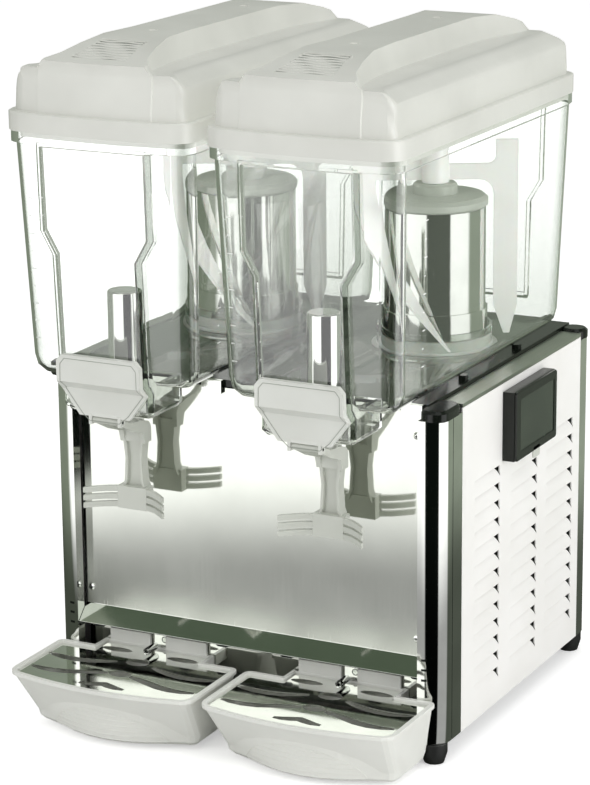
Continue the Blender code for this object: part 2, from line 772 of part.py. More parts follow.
def add_sheet(name, points, faces, finish, root):
    """Thicken an open surface inward into a closed sheet."""
    mesh = bpy.data.meshes.new(name)
    mesh.from_pydata(points, [], faces)
    thing = bpy.data.objects.new(name, mesh)
    bpy.context.scene.collection.objects.link(thing)
    thing.parent = root
    paint(thing, finish)
    modifier = thing.modifiers.new("sheet", "SOLIDIFY")
    modifier.thickness = SHEET
    modifier.offset = -1.0
    return thing


def make_side_panels(root):
    """White louvred sides; the right one has no louvre behind the control box."""
    width = (PANEL_EDGE, REAR_REACH - POST_REAR_DEPTH - GAP)
    low, high = FOOT_HEIGHT + GAP, BODY_TOP - GAP
    behind_box = (3, 2 * LOUVRE_ROWS - 1)
    columns = [[REAR_REACH * share for share in column] for column in LOUVRE_COLUMN_SHARES]
    for side, sign in SIDES.items():
        skip = behind_box if sign > 0 else None
        points, faces = louvred_sheet(width, low, high, columns, LOUVRE_ROWS, LOUVRE_TOP_ROW, skip)
        points = [(sign * (HALF - c), a, b) for a, b, c in points]
        if sign < 0:
            faces = [tuple(reversed(face)) for face in faces]
        add_sheet("side_panel_" + side, points, faces, "white enamel", root)


def make_rear_panel(root):
    low = FOOT_HEIGHT + GAP
    edge = HALF - POST_RADIUS
    columns = [[HALF * share for share in column] for column in REAR_COLUMN_SHARES]
    points, faces = louvred_sheet((-edge, edge), low, BODY_TOP - GAP, columns, REAR_ROWS, REAR_TOP_ROW)
    points = [(a, REAR_PANEL_FACE + SHEET - c, b) for a, b, c in points]
    faces = [tuple(reversed(face)) for face in faces]
    panel = add_sheet("rear_panel", points, faces, "white enamel", root)
    corner = block(POST_INNER - GAP, HALF, REAR_PANEL_FACE - CUT, REAR_REACH, POST_TOP, BODY_TOP + CUT)
    cut(panel, tool("rear_panel_corners", together(corner, mirrored(corner)), root))
    join(panel, tool("rear_panel_screws", screw_heads(REAR_PANEL_FACE + SHEET, 1.0), root))
    x, z = GLAND_PLACE
    start = GLAND_FACE
    profile = [(0.0, start), (GLAND_RADIUS, start), (GLAND_RADIUS, start + GLAND_REACH / 2)]
    profile += [(GLAND_RADIUS / 2, start + GLAND_REACH), (0.0, start + GLAND_REACH)]
    smooth(add("cable_gland", turned(profile, (x, z), SMALL_STEPS, "y"), "black plastic", root))


def make_deck(root):
    """Black top moulding: deck, post caps, bowl rests and a hole for each drum."""
    low = BODY_TOP + GAP
    deck = add("deck", block(-DECK_HALF, DECK_HALF, SHEET, DECK_REAR, low, DECK_TOP), "black plastic", root)
    front = cap_shape(-POST_FRONT - CAP_PROUD, PANEL_EDGE - GAP)
    rear = cap_shape(CAP_REAR_START, REAR_REACH)
    caps = together(front, mirrored(front), rear, mirrored(rear))
    join(deck, tool("deck_post_caps", caps, root))
    pegs = []
    for x in (UNIT_OFFSET - PEG_OFFSET, UNIT_OFFSET + PEG_OFFSET):
        for y in PEG_PLACES:
            peg = rod(PEG_RADIUS, DECK_TOP - CUT, DECK_TOP + PEG_HEIGHT, (x, y), 8)
            pegs += [peg, mirrored(peg)]
    join(deck, tool("deck_pegs", together(*pegs), root))
    for side, sign in SIDES.items():
        centre = (sign * UNIT_OFFSET, DRUM_PLACE)
        hole = rod(DRUM_FOOT_RADIUS + GAP, low - CUT, DECK_TOP + CUT, centre, ROUND_STEPS)
        cut(deck, tool("deck_hole_" + side, hole, root))
        x0, x1 = sorted((sign * (DECK_HALF + GAP), sign * HALF))
        strip = block(x0, x1, PANEL_EDGE, CAP_REAR_START - GAP, BODY_TOP, BODY_TOP + TRIM_HEIGHT)
        add("deck_trim_" + side, strip, "polished steel", root)


def make_latches(root):
    """Steel catch beside each bowl's front corner, bent over the deck's edge."""
    top, thick = BODY_TOP + GAP, LATCH_THICK
    inner = SHEET - GAP
    catch = [(-thick, top - LATCH_DROP), (-GAP, top - LATCH_DROP), (-GAP, top), (inner, top)]
    catch += [(inner, DECK_TOP), (-thick, DECK_TOP)]
    for side, sign in SIDES.items():
        x = sign * UNIT_OFFSET + LATCH_OFFSET
        shape = prism(catch, "x", x - LATCH_WIDTH / 2, x + LATCH_WIDTH / 2)
        add("bowl_latch_" + side, shape, "polished steel", root)


def make_tray_bracket(root):
    """Steel rail behind the drip trays, with an oval hole at each end of a tray."""
    edge, face, sheet = POST_INNER - GAP, BRACKET_FACE, SHEET
    rear = SILL_FACE - GAP
    profile = [(face, BRACKET_BOTTOM), (face + sheet, BRACKET_BOTTOM), (face + sheet, BRACKET_TOP - sheet)]
    profile += [(rear, BRACKET_TOP - sheet), (rear, BRACKET_TOP), (face, BRACKET_TOP)]
    rail = add("tray_bracket", prism(profile, "x", -edge, edge), "polished steel", root)
    radius, half = BRACKET_HOLE, BRACKET_HOLE_LENGTH / 2 - BRACKET_HOLE
    holes = []
    for unit in (-UNIT_OFFSET, UNIT_OFFSET):
        for offset in (-BRACKET_HOLE_OFFSET, BRACKET_HOLE_OFFSET):
            x = unit + offset
            z = BRACKET_HOLE_HEIGHT
            oval = arc(x + half, z, radius, -90, 90) + arc(x - half, z, radius, 90, 270)
            holes.append(prism(oval, "y", face - CUT, face + sheet + CUT))
    cut(rail, tool("tray_bracket_holes", together(*holes), root))


# Bowl


def bowl_rings(inset):
    """Rings of the bowl's body from the rim down, inset by the wall for its inside."""
    def body(half, front, rear, height, extra=0.0):
        step = inset + extra
        corner = BOWL_CORNER - min(step, BOWL_CORNER / 2)
        return ring(plan(half - step, front - step, rear - step, corner, BOWL_BOW), height)

    rings = []
    rise = BOWL_FILLET
    low_rim = BOWL_FLOOR + rise
    rings.append(body(BOWL_TOP_HALF, BOWL_TOP_FRONT, BOWL_TOP_REAR, BOWL_WALL_TOP))
    rings.append(body(BOWL_LOW_HALF, BOWL_LOW_FRONT, BOWL_LOW_REAR, low_rim))
    for degrees in (30.0, 60.0, 90.0):
        turn = math.radians(degrees)
        radius = rise - inset
        height = low_rim - radius * math.sin(turn)
        extra = radius * (1.0 - math.cos(turn))
        rings.append(body(BOWL_LOW_HALF, BOWL_LOW_FRONT, BOWL_LOW_REAR, height, extra))
    return rings


def bowl_body():
    rim = plan(RIM_HALF, RIM_FRONT, RIM_REAR, SKIRT_RADIUS - BOWL_RIM_STEP, RIM_BOW)
    rings = [ring(rim, BOWL_RIM_TOP), ring(rim, BOWL_RIM_TOP - BOWL_RIM_HEIGHT)]
    return loft(rings + bowl_rings(0.0))


def bowl_hollow():
    rings = bowl_rings(BOWL_WALL)
    mouth = [(x, y, BOWL_RIM_TOP + CUT) for x, y, z in rings[0]]
    return loft([mouth] + rings)


def bay_section(half, front, rear, height, edge=CHAMBER_EDGE):
    """Plan of the front bay, with its two front corners softened."""
    outline = [(-half, -rear), (-half, edge - front), (edge - half, -front)]
    outline += [(half - edge, -front), (half, edge - front), (half, -rear)]
    return ring(outline, height)


def bay(wall):
    """Front bay and tap chamber: wide at the top, narrower below the jog."""
    def section(half, front, height, edge=CHAMBER_EDGE):
        return bay_section(half - wall, front - wall, CHAMBER_REAR + wall, height, edge)

    top = BOWL_RIM_TOP - BOWL_RIM_HEIGHT + (CUT if wall == 0 else -CUT)
    edge = CHAMBER_EDGE
    return loft([
        section(BAY_TOP_HALF, BAY_TOP_FRONT, top),
        section(BAY_TOP_HALF, BAY_JOG_FRONT, BAY_JOG_TOP),
        section(BAY_LOW_HALF, BAY_JOG_FRONT, BAY_JOG_LOW),
        section(BAY_LOW_HALF, BAY_LOW_FRONT, BAY_LEDGE_TOP),
        section(BAY_LOW_HALF, CHAMBER_FRONT, BAY_LEDGE_LOW),
        section(BAY_LOW_HALF, CHAMBER_FRONT, CHAMBER_FLOOR + edge + wall / 2),
        section(BAY_LOW_HALF - edge, CHAMBER_FRONT - edge, CHAMBER_FLOOR + wall, edge / 2),
    ])


def rear_bay(wall):
    """Shallow bay in the rear wall, of the front bay's outline."""
    def section(half, rear, height):
        outline = [(wall - half, rear - wall), (half - wall, rear - wall)]
        outline += [(half - wall, BOWL_LOW_REAR - BOWL_CORNER), (wall - half, BOWL_LOW_REAR - BOWL_CORNER)]
        return ring(outline, height)

    reach = REAR_BAY_DEPTH
    slope = (BOWL_TOP_REAR - BOWL_LOW_REAR) / (BOWL_WALL_TOP - BOWL_FLOOR - BOWL_FILLET)

    def rear_at(height):
        return BOWL_LOW_REAR + slope * (height - BOWL_FLOOR - BOWL_FILLET)

    top = BOWL_RIM_TOP - BOWL_RIM_HEIGHT + (CUT if wall == 0 else -CUT)
    foot = REAR_BAY_FOOT + wall
    return loft([
        section(BAY_TOP_HALF, rear_at(top) + reach, top),
        section(BAY_TOP_HALF, rear_at(BAY_JOG_TOP) + reach, BAY_JOG_TOP),
        section(BAY_LOW_HALF, rear_at(BAY_JOG_LOW) + reach, BAY_JOG_LOW),
        section(BAY_LOW_HALF, rear_at(foot) + reach, foot),
        section(BAY_LOW_HALF, rear_at(foot) - CUT, foot - reach),
    ])


def make_bowl(side, root, x):
    """Clear bowl: walls, two bays, the tap chamber, the drum's neck and the nozzle."""
    bowl = add("bowl_" + side, moved(bowl_body(), x), "clear plastic", root)
    drum = (x, DRUM_PLACE)
    valve = (x, VALVE_PLACE)
    name = "bowl_%s_" % side
    join(bowl, tool(name + "bay", moved(bay(0.0), x), root))
    join(bowl, tool(name + "rear_bay", moved(rear_bay(0.0), x), root))
    nozzle = rod(NOZZLE_RADIUS, NOZZLE_END, CHAMBER_FLOOR + CUT, valve, SMALL_STEPS)
    join(bowl, tool(name + "nozzle", nozzle, root))
    cut(bowl, tool(name + "hollow", moved(bowl_hollow(), x), root))
    cut(bowl, tool(name + "bay_hollow", moved(bay(BOWL_WALL), x), root))
    cut(bowl, tool(name + "rear_bay_hollow", moved(rear_bay(BOWL_WALL), x), root))
    low, high = BOWL_FLOOR - CUT, BOWL_FLOOR + BOWL_WALL + CUT
    opening = rod(NECK_INNER + NECK_WALL / 2, low, high, drum, ROUND_STEPS)
    cut(bowl, tool(name + "opening", opening, root))
    outer, low, step = NECK_INNER + NECK_WALL, DECK_TOP + GAP, BOWL_FLOOR + BOWL_WALL / 2
    profile = [(NECK_INNER, low), (COLLAR_RADIUS, low), (COLLAR_RADIUS, step), (outer, step)]
    profile += [(outer, NECK_TOP), (NECK_INNER, NECK_TOP)]
    join(bowl, tool(name + "neck", turned(profile, drum), root))
    outlet = rod(NOZZLE_BORE, NOZZLE_END - CUT, CHAMBER_FLOOR + BOWL_WALL + CUT, valve, SMALL_STEPS)
    cut(bowl, tool(name + "outlet", outlet, root))
    return bowl


# Lid


def blend(value):
    """Smooth step from 0 to 1."""
    value = min(max(value, 0.0), 1.0)
    return value * value * (3.0 - 2.0 * value)


def hump_half(y):
    """Half width of the raised roof: parallel in the middle, flared at both ends."""
    ahead = max(0.0, (HUMP_FLARE_START - y) / (HUMP_FLARE_START - BROW_PLACE))
    rear = SKIRT_REAR - LID_CREST_INSET
    behind = blend((y - HUMP_REAR_START) / (rear - HUMP_REAR_START))
    return HUMP_HALF + HUMP_FRONT_FLARE * ahead ** 1.6 + HUMP_REAR_FLARE * behind ** 2


def flank_width(y):
    """Width of the slope beside the roof; it narrows towards the front."""
    ahead = min(1.0, max(0.0, (HUMP_FLARE_START - y) / (HUMP_FLARE_START - BROW_PLACE)))
    return FLANK_WIDTH * (1.0 - ahead * FLANK_TAPER_SHARE)


def roof_height(y):
    """Roof line seen from the side: sloping front, flat middle, falling rear."""
    if y < ROOF_BREAK:
        share = (ROOF_BREAK - y) / (ROOF_BREAK - BROW_PLACE)
        return ROOF_HEIGHT - (ROOF_HEIGHT - BROW_HEIGHT) * share
    if y > ROOF_REAR_BREAK:
        share = (y - ROOF_REAR_BREAK) / (SKIRT_REAR - LID_CREST_INSET - ROOF_REAR_BREAK)
        return ROOF_HEIGHT - (ROOF_HEIGHT - ROOF_REAR_HEIGHT) * min(share, 1.0) ** 1.5
    return ROOF_HEIGHT


def lid_radius(inset):
    return max(SKIRT_RADIUS - inset, SKIRT_RADIUS / 5)


def lid_row(y, half):
    """(x, height) from the middle of the roof across the valley to the crest."""
    edge, roof, flank = hump_half(y), roof_height(y), flank_width(y)
    row = [(edge * share, roof) for share in ROOF_SHARES]
    for across, up in FLANK_SHARES:
        row.append((edge + flank * across, VALLEY_HEIGHT + (roof - VALLEY_HEIGHT) * up))
    row.append((edge + flank * CREASE_SHARE, VALLEY_HEIGHT))
    squeeze = min(1.0, (half - FLANK_WIDTH / 4) / row[-1][0])
    return [(x * squeeze, z) for x, z in row] + [(half, VALLEY_HEIGHT)]


def lid_stations():
    """(y, half width) of the crest outline, from its front to its rear."""
    radius, inset = lid_radius(LID_CREST_INSET), LID_CREST_INSET
    front, rear = radius + inset - SKIRT_FRONT, SKIRT_REAR - inset - radius
    flat = SKIRT_HALF - inset - radius
    turns = [math.radians(30.0 * i) for i in range(4)]
    corner = [(radius * math.cos(t), flat + radius * math.sin(t)) for t in turns]
    stations = [(front - reach, half) for reach, half in corner]
    stations += [(front + (rear - front) * share, flat + radius) for share in STATION_SHARES]
    return stations + [(rear + reach, half) for reach, half in reversed(corner)]


def front_swell(x, flat):
    share = min(abs(x) / flat, 1.0)
    return SKIRT_BOW * (1.0 - share * share)


def lid_grid():
    """Points and faces of the lid's top inside the crest, and the indices round its rim."""
    stations = lid_stations()
    flat = stations[0][1]
    reach = STATION_SHARES[2] * (stations[-1][0] - stations[0][0])
    points, grid = [], []
    for y, half in stations:
        row = lid_row(y, half)
        row = [(-x, z) for x, z in reversed(row[1:])] + row
        near = max(0.0, 1.0 - (y - stations[0][0]) / reach)
        grid.append(list(range(len(points), len(points) + len(row))))
        points += [(x, y - front_swell(x, flat) * near, z) for x, z in row]
    faces = []
    for low, high in zip(grid, grid[1:]):
        for i in range(len(low) - 1):
            faces.append((low[i], low[i + 1], high[i + 1], high[i]))
    rim = grid[0] + [row[-1] for row in grid[1:]]
    rim += list(reversed(grid[-1]))[1:] + [row[0] for row in reversed(grid[1:-1])]
    return points, faces, rim, len(grid[0])


def lid_rings():
    """(inset, height) of the wall's rings, each for the sides, the shoulders and the band."""
    tall = VALLEY_HEIGHT - SKIRT_TOP
    rings = []
    for row in LID_RING_SHARES:
        row = [(LID_CREST_INSET * out, up if up is None else SKIRT_TOP + tall * up) for out, up in row]
        rings.append(row)
    step = SKIRT_EDGE / 2
    rings.append([(LID_LEDGE, SKIRT_TOP), (LID_LEDGE + step, SKIRT_TOP), (LID_LEDGE - step, SKIRT_TOP)])
    return rings


def pushed_out(point, inset, front_inset=None, rear_inset=None):
    """A point of the crest outline moved out to the outline at a smaller inset."""
    front_inset = inset if front_inset is None else front_inset
    rear_inset = inset if rear_inset is None else rear_inset
    x, y, _ = point
    crest = LID_CREST_INSET
    inner, outer = lid_radius(crest), lid_radius(inset)
    flat, front, rear = SKIRT_HALF - crest - inner, inner + crest - SKIRT_FRONT, SKIRT_REAR - crest - inner
    cx = min(max(x, -flat), flat)
    y += front_swell(cx, flat) if y < front else 0.0
    cy = min(max(y, front), rear)
    dx, dy = x - cx, y - cy
    reach = math.hypot(dx, dy)
    new_front, new_rear = outer + front_inset - SKIRT_FRONT, SKIRT_REAR - rear_inset - outer
    nx = cx * (SKIRT_HALF - inset - outer) / flat
    ny = new_front + (cy - front) * (new_rear - new_front) / (rear - front)
    swell = front_swell(cx, flat) if y < front else 0.0
    return nx + dx / reach * outer, ny + dy / reach * outer - swell


def ring_of(points, rim, across, settings):
    """One ring of the lid's walls, mixing its side, shoulder and band profiles."""
    side, shoulder, band = settings
    middle = across // 2
    row = []
    for place, index in enumerate(rim):
        if place < across:
            inset, height = band if abs(place - middle) <= BAND_COLUMN else shoulder
        else:
            inset, height = side
            step = min(place - across + 1, len(rim) - place)
            if step < 3:
                share = step / 3.0
                inset = shoulder[0] + (side[0] - shoulder[0]) * share
                height = shoulder[1] + (side[1] - shoulder[1]) * share
        x, y = pushed_out(points[index], inset)
        if height is None:
            height = VALLEY_HEIGHT
            if abs(place - middle) < BAND_COLUMN:
                rise = (points[index][2] - VALLEY_HEIGHT) / (roof_height(points[index][1]) - VALLEY_HEIGHT)
                height += (roof_height(y) - VALLEY_HEIGHT) * rise
        row.append((x, y, height))
    return row


def lip_insets():
    """Insets of the lip's outside from the skirt on the sides, at the front and at the rear."""
    play = BOWL_WALL + LIP_PLAY
    side, rear = SKIRT_HALF - BOWL_TOP_HALF + play, SKIRT_REAR - BOWL_TOP_REAR + play
    return side, SKIRT_FRONT + SKIRT_BOW - BOWL_TOP_FRONT - BOWL_BOW + play, rear


def lid_cavity(x):
    """Hollow under the lid: the mouth, the skirt and the walls up to the shoulders."""
    wall = LID_WALL
    lip = max(lip_insets()) + wall
    dome = LID_LEDGE + wall
    crest, _, shoulder, _, foot, _ = [row[0] for row in lid_rings()]
    steps = (
        (lip, lip, SKIRT_BOTTOM - LID_LIP - CUT), (lip, lip, SKIRT_BOTTOM + wall),
        (wall, wall, SKIRT_BOTTOM + wall), (wall, wall, SKIRT_TOP - wall),
        (dome, dome, SKIRT_TOP - wall), (dome, dome + wall, foot[1]),
        (shoulder[0] + wall * 1.3, dome + wall * 1.8, shoulder[1] - wall),
        (crest[0] + wall / 2, dome + wall * 2, crest[1] - wall),
        (LID_CREST_INSET + wall, LID_CREST_INSET, VALLEY_HEIGHT - wall),
    )
    rings = []
    for inset, front, height in steps:
        rings.append(ring(plan(SKIRT_HALF - inset, SKIRT_FRONT - front, SKIRT_REAR - inset,
                               lid_radius(inset) + wall / 2, SKIRT_BOW), height))
    return moved(loft(rings), x)


def hump_cavity(x):
    low = VALLEY_HEIGHT - LID_WALL * 1.5
    rings = []
    ends = BROW_PLACE + LID_CREST_INSET * 0.6, SKIRT_REAR - LID_CREST_INSET * 1.3
    for y in (ends[0], ROOF_BREAK, ROOF_REAR_BREAK, ends[1]):
        half, high = hump_half(y) - LID_WALL, roof_height(y) - LID_WALL
        top = half - LID_WALL
        rings.append([(-half, y, low), (half, y, low), (top, y, high), (-top, y, high)])
    return moved(loft(rings), x)


def make_lid(side, root, x):
    """Moulded lid: a raised roof over a skirt, with a lip that drops into the bowl."""
    points, faces, rim, across = lid_grid()
    edge = SKIRT_EDGE
    loops = [rim]
    skirt = [(edge, SKIRT_TOP), (0.0, SKIRT_TOP - edge), (0.0, SKIRT_BOTTOM)]
    for settings in lid_rings() + [[step] * 3 for step in skirt]:
        loops.append(list(range(len(points), len(points) + len(rim))))
        points += ring_of(points, rim, across, settings)
    lip = [pushed_out(points[index], *lip_insets()) for index in rim]
    for height in (SKIRT_BOTTOM, SKIRT_BOTTOM - LID_LIP):
        loops.append(list(range(len(points), len(points) + len(rim))))
        points += ring(lip, height)
    count = len(rim)
    for low, high in zip(loops, loops[1:]):
        for i in range(count):
            j = (i + 1) % count
            faces.append((low[i], low[j], high[j], high[i]))
    faces.append(tuple(loops[-1]))
    lid = smooth(add("lid_" + side, moved((points, faces), x), "lid plastic", root), 28.0)
    name = "lid_%s_" % side
    cut(lid, tool(name + "cavity", lid_cavity(x), root))
    cut(lid, tool(name + "hump", hump_cavity(x), root))
    cut(lid, tool(name + "grille", moved(grille_slots(), x), root))
    low, high = ROOF_HEIGHT - DIMPLE_DEPTH, ROOF_HEIGHT + CUT
    dimples = [rod(DIMPLE_RADIUS, low, high, (x, y), 10) for y in DIMPLE_PLACES]
    cut(lid, tool(name + "dimples", together(*dimples), root))


def grille_slots():
    """Blind slots of the grille on the sloping front of the roof."""
    slots = []
    pitch = (GRILLE_REAR - GRILLE_FRONT) / GRILLE_SLATS
    for i in range(GRILLE_SLATS):
        y0 = GRILLE_FRONT + pitch * i
        y1 = y0 + pitch * GRILLE_SLOT_SHARE
        share = (y0 - GRILLE_FRONT) / (GRILLE_REAR - GRILLE_FRONT)
        half = GRILLE_HALF_FRONT + (GRILLE_HALF_REAR - GRILLE_HALF_FRONT) * share
        low = (roof_height(y0) + roof_height(y1)) / 2 - LID_WALL / 2
        slots.append(block(-half, half, y0, y1, low, ROOF_HEIGHT + CUT))
    return together(*slots)


# Chilled drum, mixer and paddle


def make_drum(side, root, x):
    """Steel drum that stands through the deck on a flange below it."""
    r, inner = DRUM_RADIUS, DRUM_RADIUS - DRUM_WALL
    low = BODY_TOP - FLANGE_THICK
    profile = [
        (0.0, DRUM_TOP), (r, DRUM_TOP), (r, DRUM_FOOT_TOP), (DRUM_FOOT_RADIUS, DRUM_FOOT_TOP),
        (DRUM_FOOT_RADIUS, BODY_TOP), (DRUM_FLANGE, BODY_TOP),
        (DRUM_FLANGE, low), (inner, low), (inner, DRUM_TOP - DRUM_WALL), (0.0, DRUM_TOP - DRUM_WALL),
    ]
    smooth(add("evaporator_" + side, turned(profile, (x, DRUM_PLACE)), "polished steel", root))
    base, step = DRUM_TOP + GAP, DRUM_CAP_EDGE - DRUM_TOP
    profile = [
        (0.0, base), (r, base), (CAP_RADIUS, base + step / 4), (CAP_RADIUS, DRUM_CAP_EDGE),
        (CAP_RADIUS - step / 2, DRUM_CAP_TOP - step / 8), (BOSS_RADIUS, DRUM_CAP_TOP),
        (BOSS_RADIUS, BOSS_TOP - step / 4), (BOSS_RADIUS - step / 4, BOSS_TOP),
        (PIN_RADIUS, BOSS_TOP), (PIN_RADIUS, PIN_TOP), (0.0, PIN_TOP),
    ]
    smooth(add("evaporator_cap_" + side, turned(profile, (x, DRUM_PLACE)), "cap plastic", root))


def make_seal(side, root, x):
    """Soft seal on the bowl's neck, flaring down on to the bowl's floor."""
    inner, outer = DRUM_FOOT_RADIUS + GAP, DRUM_FOOT_RADIUS + GAP + SEAL_WALL
    neck = NECK_INNER + NECK_WALL + GAP
    floor = BOWL_FLOOR + BOWL_WALL + GAP
    waist = (outer + SEAL_SKIRT) / 2
    profile = [
        (inner, SEAL_FOOT), (outer, SEAL_FOOT), (outer, NECK_TOP + GAP), (neck, NECK_TOP + GAP),
        (neck, floor), (SEAL_SKIRT, floor), (SEAL_SKIRT - SEAL_WALL, floor + SEAL_WALL * 4),
        (waist, NECK_TOP + SEAL_WALL * 2), (outer, SEAL_TOP), (inner, SEAL_TOP),
    ]
    smooth(add("bowl_seal_" + side, turned(profile, (x, DRUM_PLACE)), "seal rubber", root))


def paddle_plate():
    """(radius, height) outline of the straight blade and its arm."""
    inner, outer = BLADE_INNER, BLADE_OUTER
    fillet = (inner - HUB_RADIUS) / 6
    reach = HUB_RADIUS / 2
    outline = [(reach, ARM_BOTTOM), (inner - 2 * fillet, ARM_BOTTOM)]
    outline += arc(inner - 2 * fillet, ARM_BOTTOM - 2 * fillet, 2 * fillet, 90, 0, 4)[1:]
    outline += [(inner, BLADE_BOTTOM + fillet * 4), (inner + fillet * 1.4, BLADE_BOTTOM)]
    outline += [(outer - fillet, BLADE_BOTTOM), (outer, BLADE_BOTTOM + fillet * 4), (outer, BLADE_TOP)]
    outline += [(inner + fillet / 4, BLADE_TOP), (inner + fillet / 4, ARM_TOP + fillet)]
    outline += arc(inner + fillet / 4 - fillet, ARM_TOP + fillet, fillet, 0, -90, 3)[1:]
    outline += [(reach, ARM_TOP)]
    return outline


def turned_plate(outline, azimuth, thick, x):
    """Stand a (radius, height) outline up at an azimuth around the drum's axis."""
    turn = math.radians(azimuth)
    c, s = math.cos(turn), math.sin(turn)
    rings = []
    for side in (-thick / 2, thick / 2):
        rings.append([(x + r * c - side * s, DRUM_PLACE + r * s + side * c, z) for r, z in outline])
    return loft(rings)


def spiral_blade(x):
    """Second blade: a ribbon that winds part of the way round the drum as it falls."""
    rings = []
    for i in range(BLADE_STEPS + 1):
        share = i / BLADE_STEPS
        z = BLADE_TOP + (BLADE_BOTTOM - BLADE_TOP) * share
        fall = max(0.0, (ARM_BOTTOM - z) / (ARM_BOTTOM - BLADE_BOTTOM))
        turn = math.radians(BLADE_AZIMUTH + 180.0 + BLADE_SWEEP * fall)
        c, s = math.cos(turn), math.sin(turn)
        foot = max(0.0, (share - 0.85) / 0.15) * (BLADE_OUTER - BLADE_INNER) / 3
        rows = []
        for r, side in ((0, -1), (1, -1), (1, 1), (0, 1)):
            radius = BLADE_OUTER - foot / 2 if r else BLADE_INNER + foot
            across = side * BLADE_THICK / 2
            rows.append((x + radius * c - across * s, DRUM_PLACE + radius * s + across * c, z))
        rings.append(rows)
    return loft(rings)


def make_paddle(side, root, x):
    """Mixing paddle that spins round the drum on the cap's pin."""
    low = BOSS_TOP + GAP
    bore = PIN_RADIUS + HUB_CLEARANCE
    depth = PIN_TOP + HUB_CLEARANCE
    edge = PIN_RADIUS / 2
    profile = [(0.0, HUB_TOP), (HUB_RADIUS - edge, HUB_TOP), (HUB_RADIUS, HUB_TOP - edge)]
    profile += [(HUB_RADIUS, low), (0.0, low)]
    origin = (x, DRUM_PLACE, low)
    paddle = add("paddle_" + side, turned(profile, (x, DRUM_PLACE), 20), "paddle plastic", root, origin)
    name = "paddle_%s_" % side
    join(paddle, tool(name + "blade", turned_plate(paddle_plate(), BLADE_AZIMUTH, BLADE_THICK, x), root))
    arm = [(r, z) for r, z in ((HUB_RADIUS / 2, ARM_BOTTOM), (BLADE_INNER + BLADE_THICK, ARM_BOTTOM))]
    arm += [(BLADE_INNER + BLADE_THICK, ARM_TOP), (HUB_RADIUS / 2, ARM_TOP)]
    join(paddle, tool(name + "arm", turned_plate(arm, BLADE_AZIMUTH + 180.0, BLADE_THICK, x), root))
    join(paddle, tool(name + "spiral", spiral_blade(x), root))
    cut(paddle, tool(name + "bore", rod(bore, low - CUT, depth, (x, DRUM_PLACE), SMALL_STEPS), root))
    smooth(paddle)


def make_mixer(side, root, x):
    """Motor under the deck, and the magnet that it spins inside the drum."""
    top = BODY_TOP - FLANGE_THICK - GAP
    plate = top - FLANGE_THICK
    low = plate - MOTOR_LENGTH
    profile = [(0.0, low), (MOTOR_RADIUS, low), (MOTOR_RADIUS, plate), (DRUM_FLANGE, plate)]
    profile += [(DRUM_FLANGE, top), (0.0, top)]
    smooth(add("mixer_motor_" + side, turned(profile, (x, DRUM_PLACE), 20), "dark steel", root))
    low = top + GAP
    high = MAGNET_LOW + MAGNET_THICK
    profile = [(0.0, low), (SHAFT_RADIUS, low), (SHAFT_RADIUS, MAGNET_LOW), (MAGNET_RADIUS, MAGNET_LOW)]
    profile += [(MAGNET_RADIUS, high), (0.0, high)]
    origin = (x, DRUM_PLACE, low)
    smooth(add("drive_magnet_" + side, turned(profile, (x, DRUM_PLACE), 16), "dark steel", root, origin))


# Tap


def bay_front(height):
    """Where the front of the bay, or of the chamber below it, stands at a height."""
    if height < (BAY_LEDGE_TOP + BAY_LEDGE_LOW) / 2:
        return CHAMBER_FRONT
    share = max(0.0, (height - BAY_LEDGE_TOP) / (BAY_JOG_LOW - BAY_LEDGE_TOP))
    return BAY_LOW_FRONT + (BAY_JOG_FRONT - BAY_LOW_FRONT) * share


def make_tap_cover(side, root, x):
    """Moulded front cover with a raised border and two ears for the lever's pin."""
    rows = []
    for up, across, step in COVER_ROW_SHARES:
        z = COVER_BOTTOM + (COVER_TOP - COVER_BOTTOM) * up
        half, front, back = COVER_HALF * across, COVER_STEP * step - COVER_FRONT, -bay_front(z) - GAP
        rows.append([(-half, front, z), (half, front, z), (half, back, z), (-half, back, z)])
    cover = add("tap_cover_" + side, moved(loft(rows), x), "tap plastic", root)
    work = bmesh.new()
    work.from_mesh(cover.data)
    front_faces = [f for f in work.faces if f.normal.y < -0.5 and f.normal.z > -0.9]
    bmesh.ops.inset_region(work, faces=front_faces, thickness=COVER_BORDER, use_even_offset=True)
    for vertex in {v for face in front_faces for v in face.verts}:
        vertex.co.y += COVER_RECESS
    work.to_mesh(cover.data)
    work.free()
    ears = []
    back = -CHAMBER_FRONT - GAP
    front, rear = back - BARREL_RADIUS * 1.5, PIVOT_PLACE + BARREL_RADIUS
    for sign in SIDES.values():
        a, b = sorted((sign * EAR_INNER, sign * EAR_OUTER))
        shape = [(front, COVER_BOTTOM + CUT), (front, EAR_BOTTOM), (rear, EAR_BOTTOM)]
        shape += [(rear, CHAMBER_FLOOR - GAP), (back, CHAMBER_FLOOR - GAP), (back, COVER_BOTTOM + CUT)]
        ears.append(moved(prism(shape, "x", a, b), x))
    join(cover, tool("tap_cover_%s_ears" % side, together(*ears), root))
    pivot, reach = (PIVOT_PLACE, PIVOT_HEIGHT), EAR_OUTER + CUT
    bore = rod(PIVOT_PIN + GAP, x - reach, x + reach, pivot, 8, "x")
    cut(cover, tool("tap_cover_%s_bore" % side, bore, root))
    pin = rod(PIVOT_PIN, x - EAR_OUTER, x + EAR_OUTER, pivot, 8, "x")
    smooth(add("lever_pin_" + side, pin, "polished steel", root))


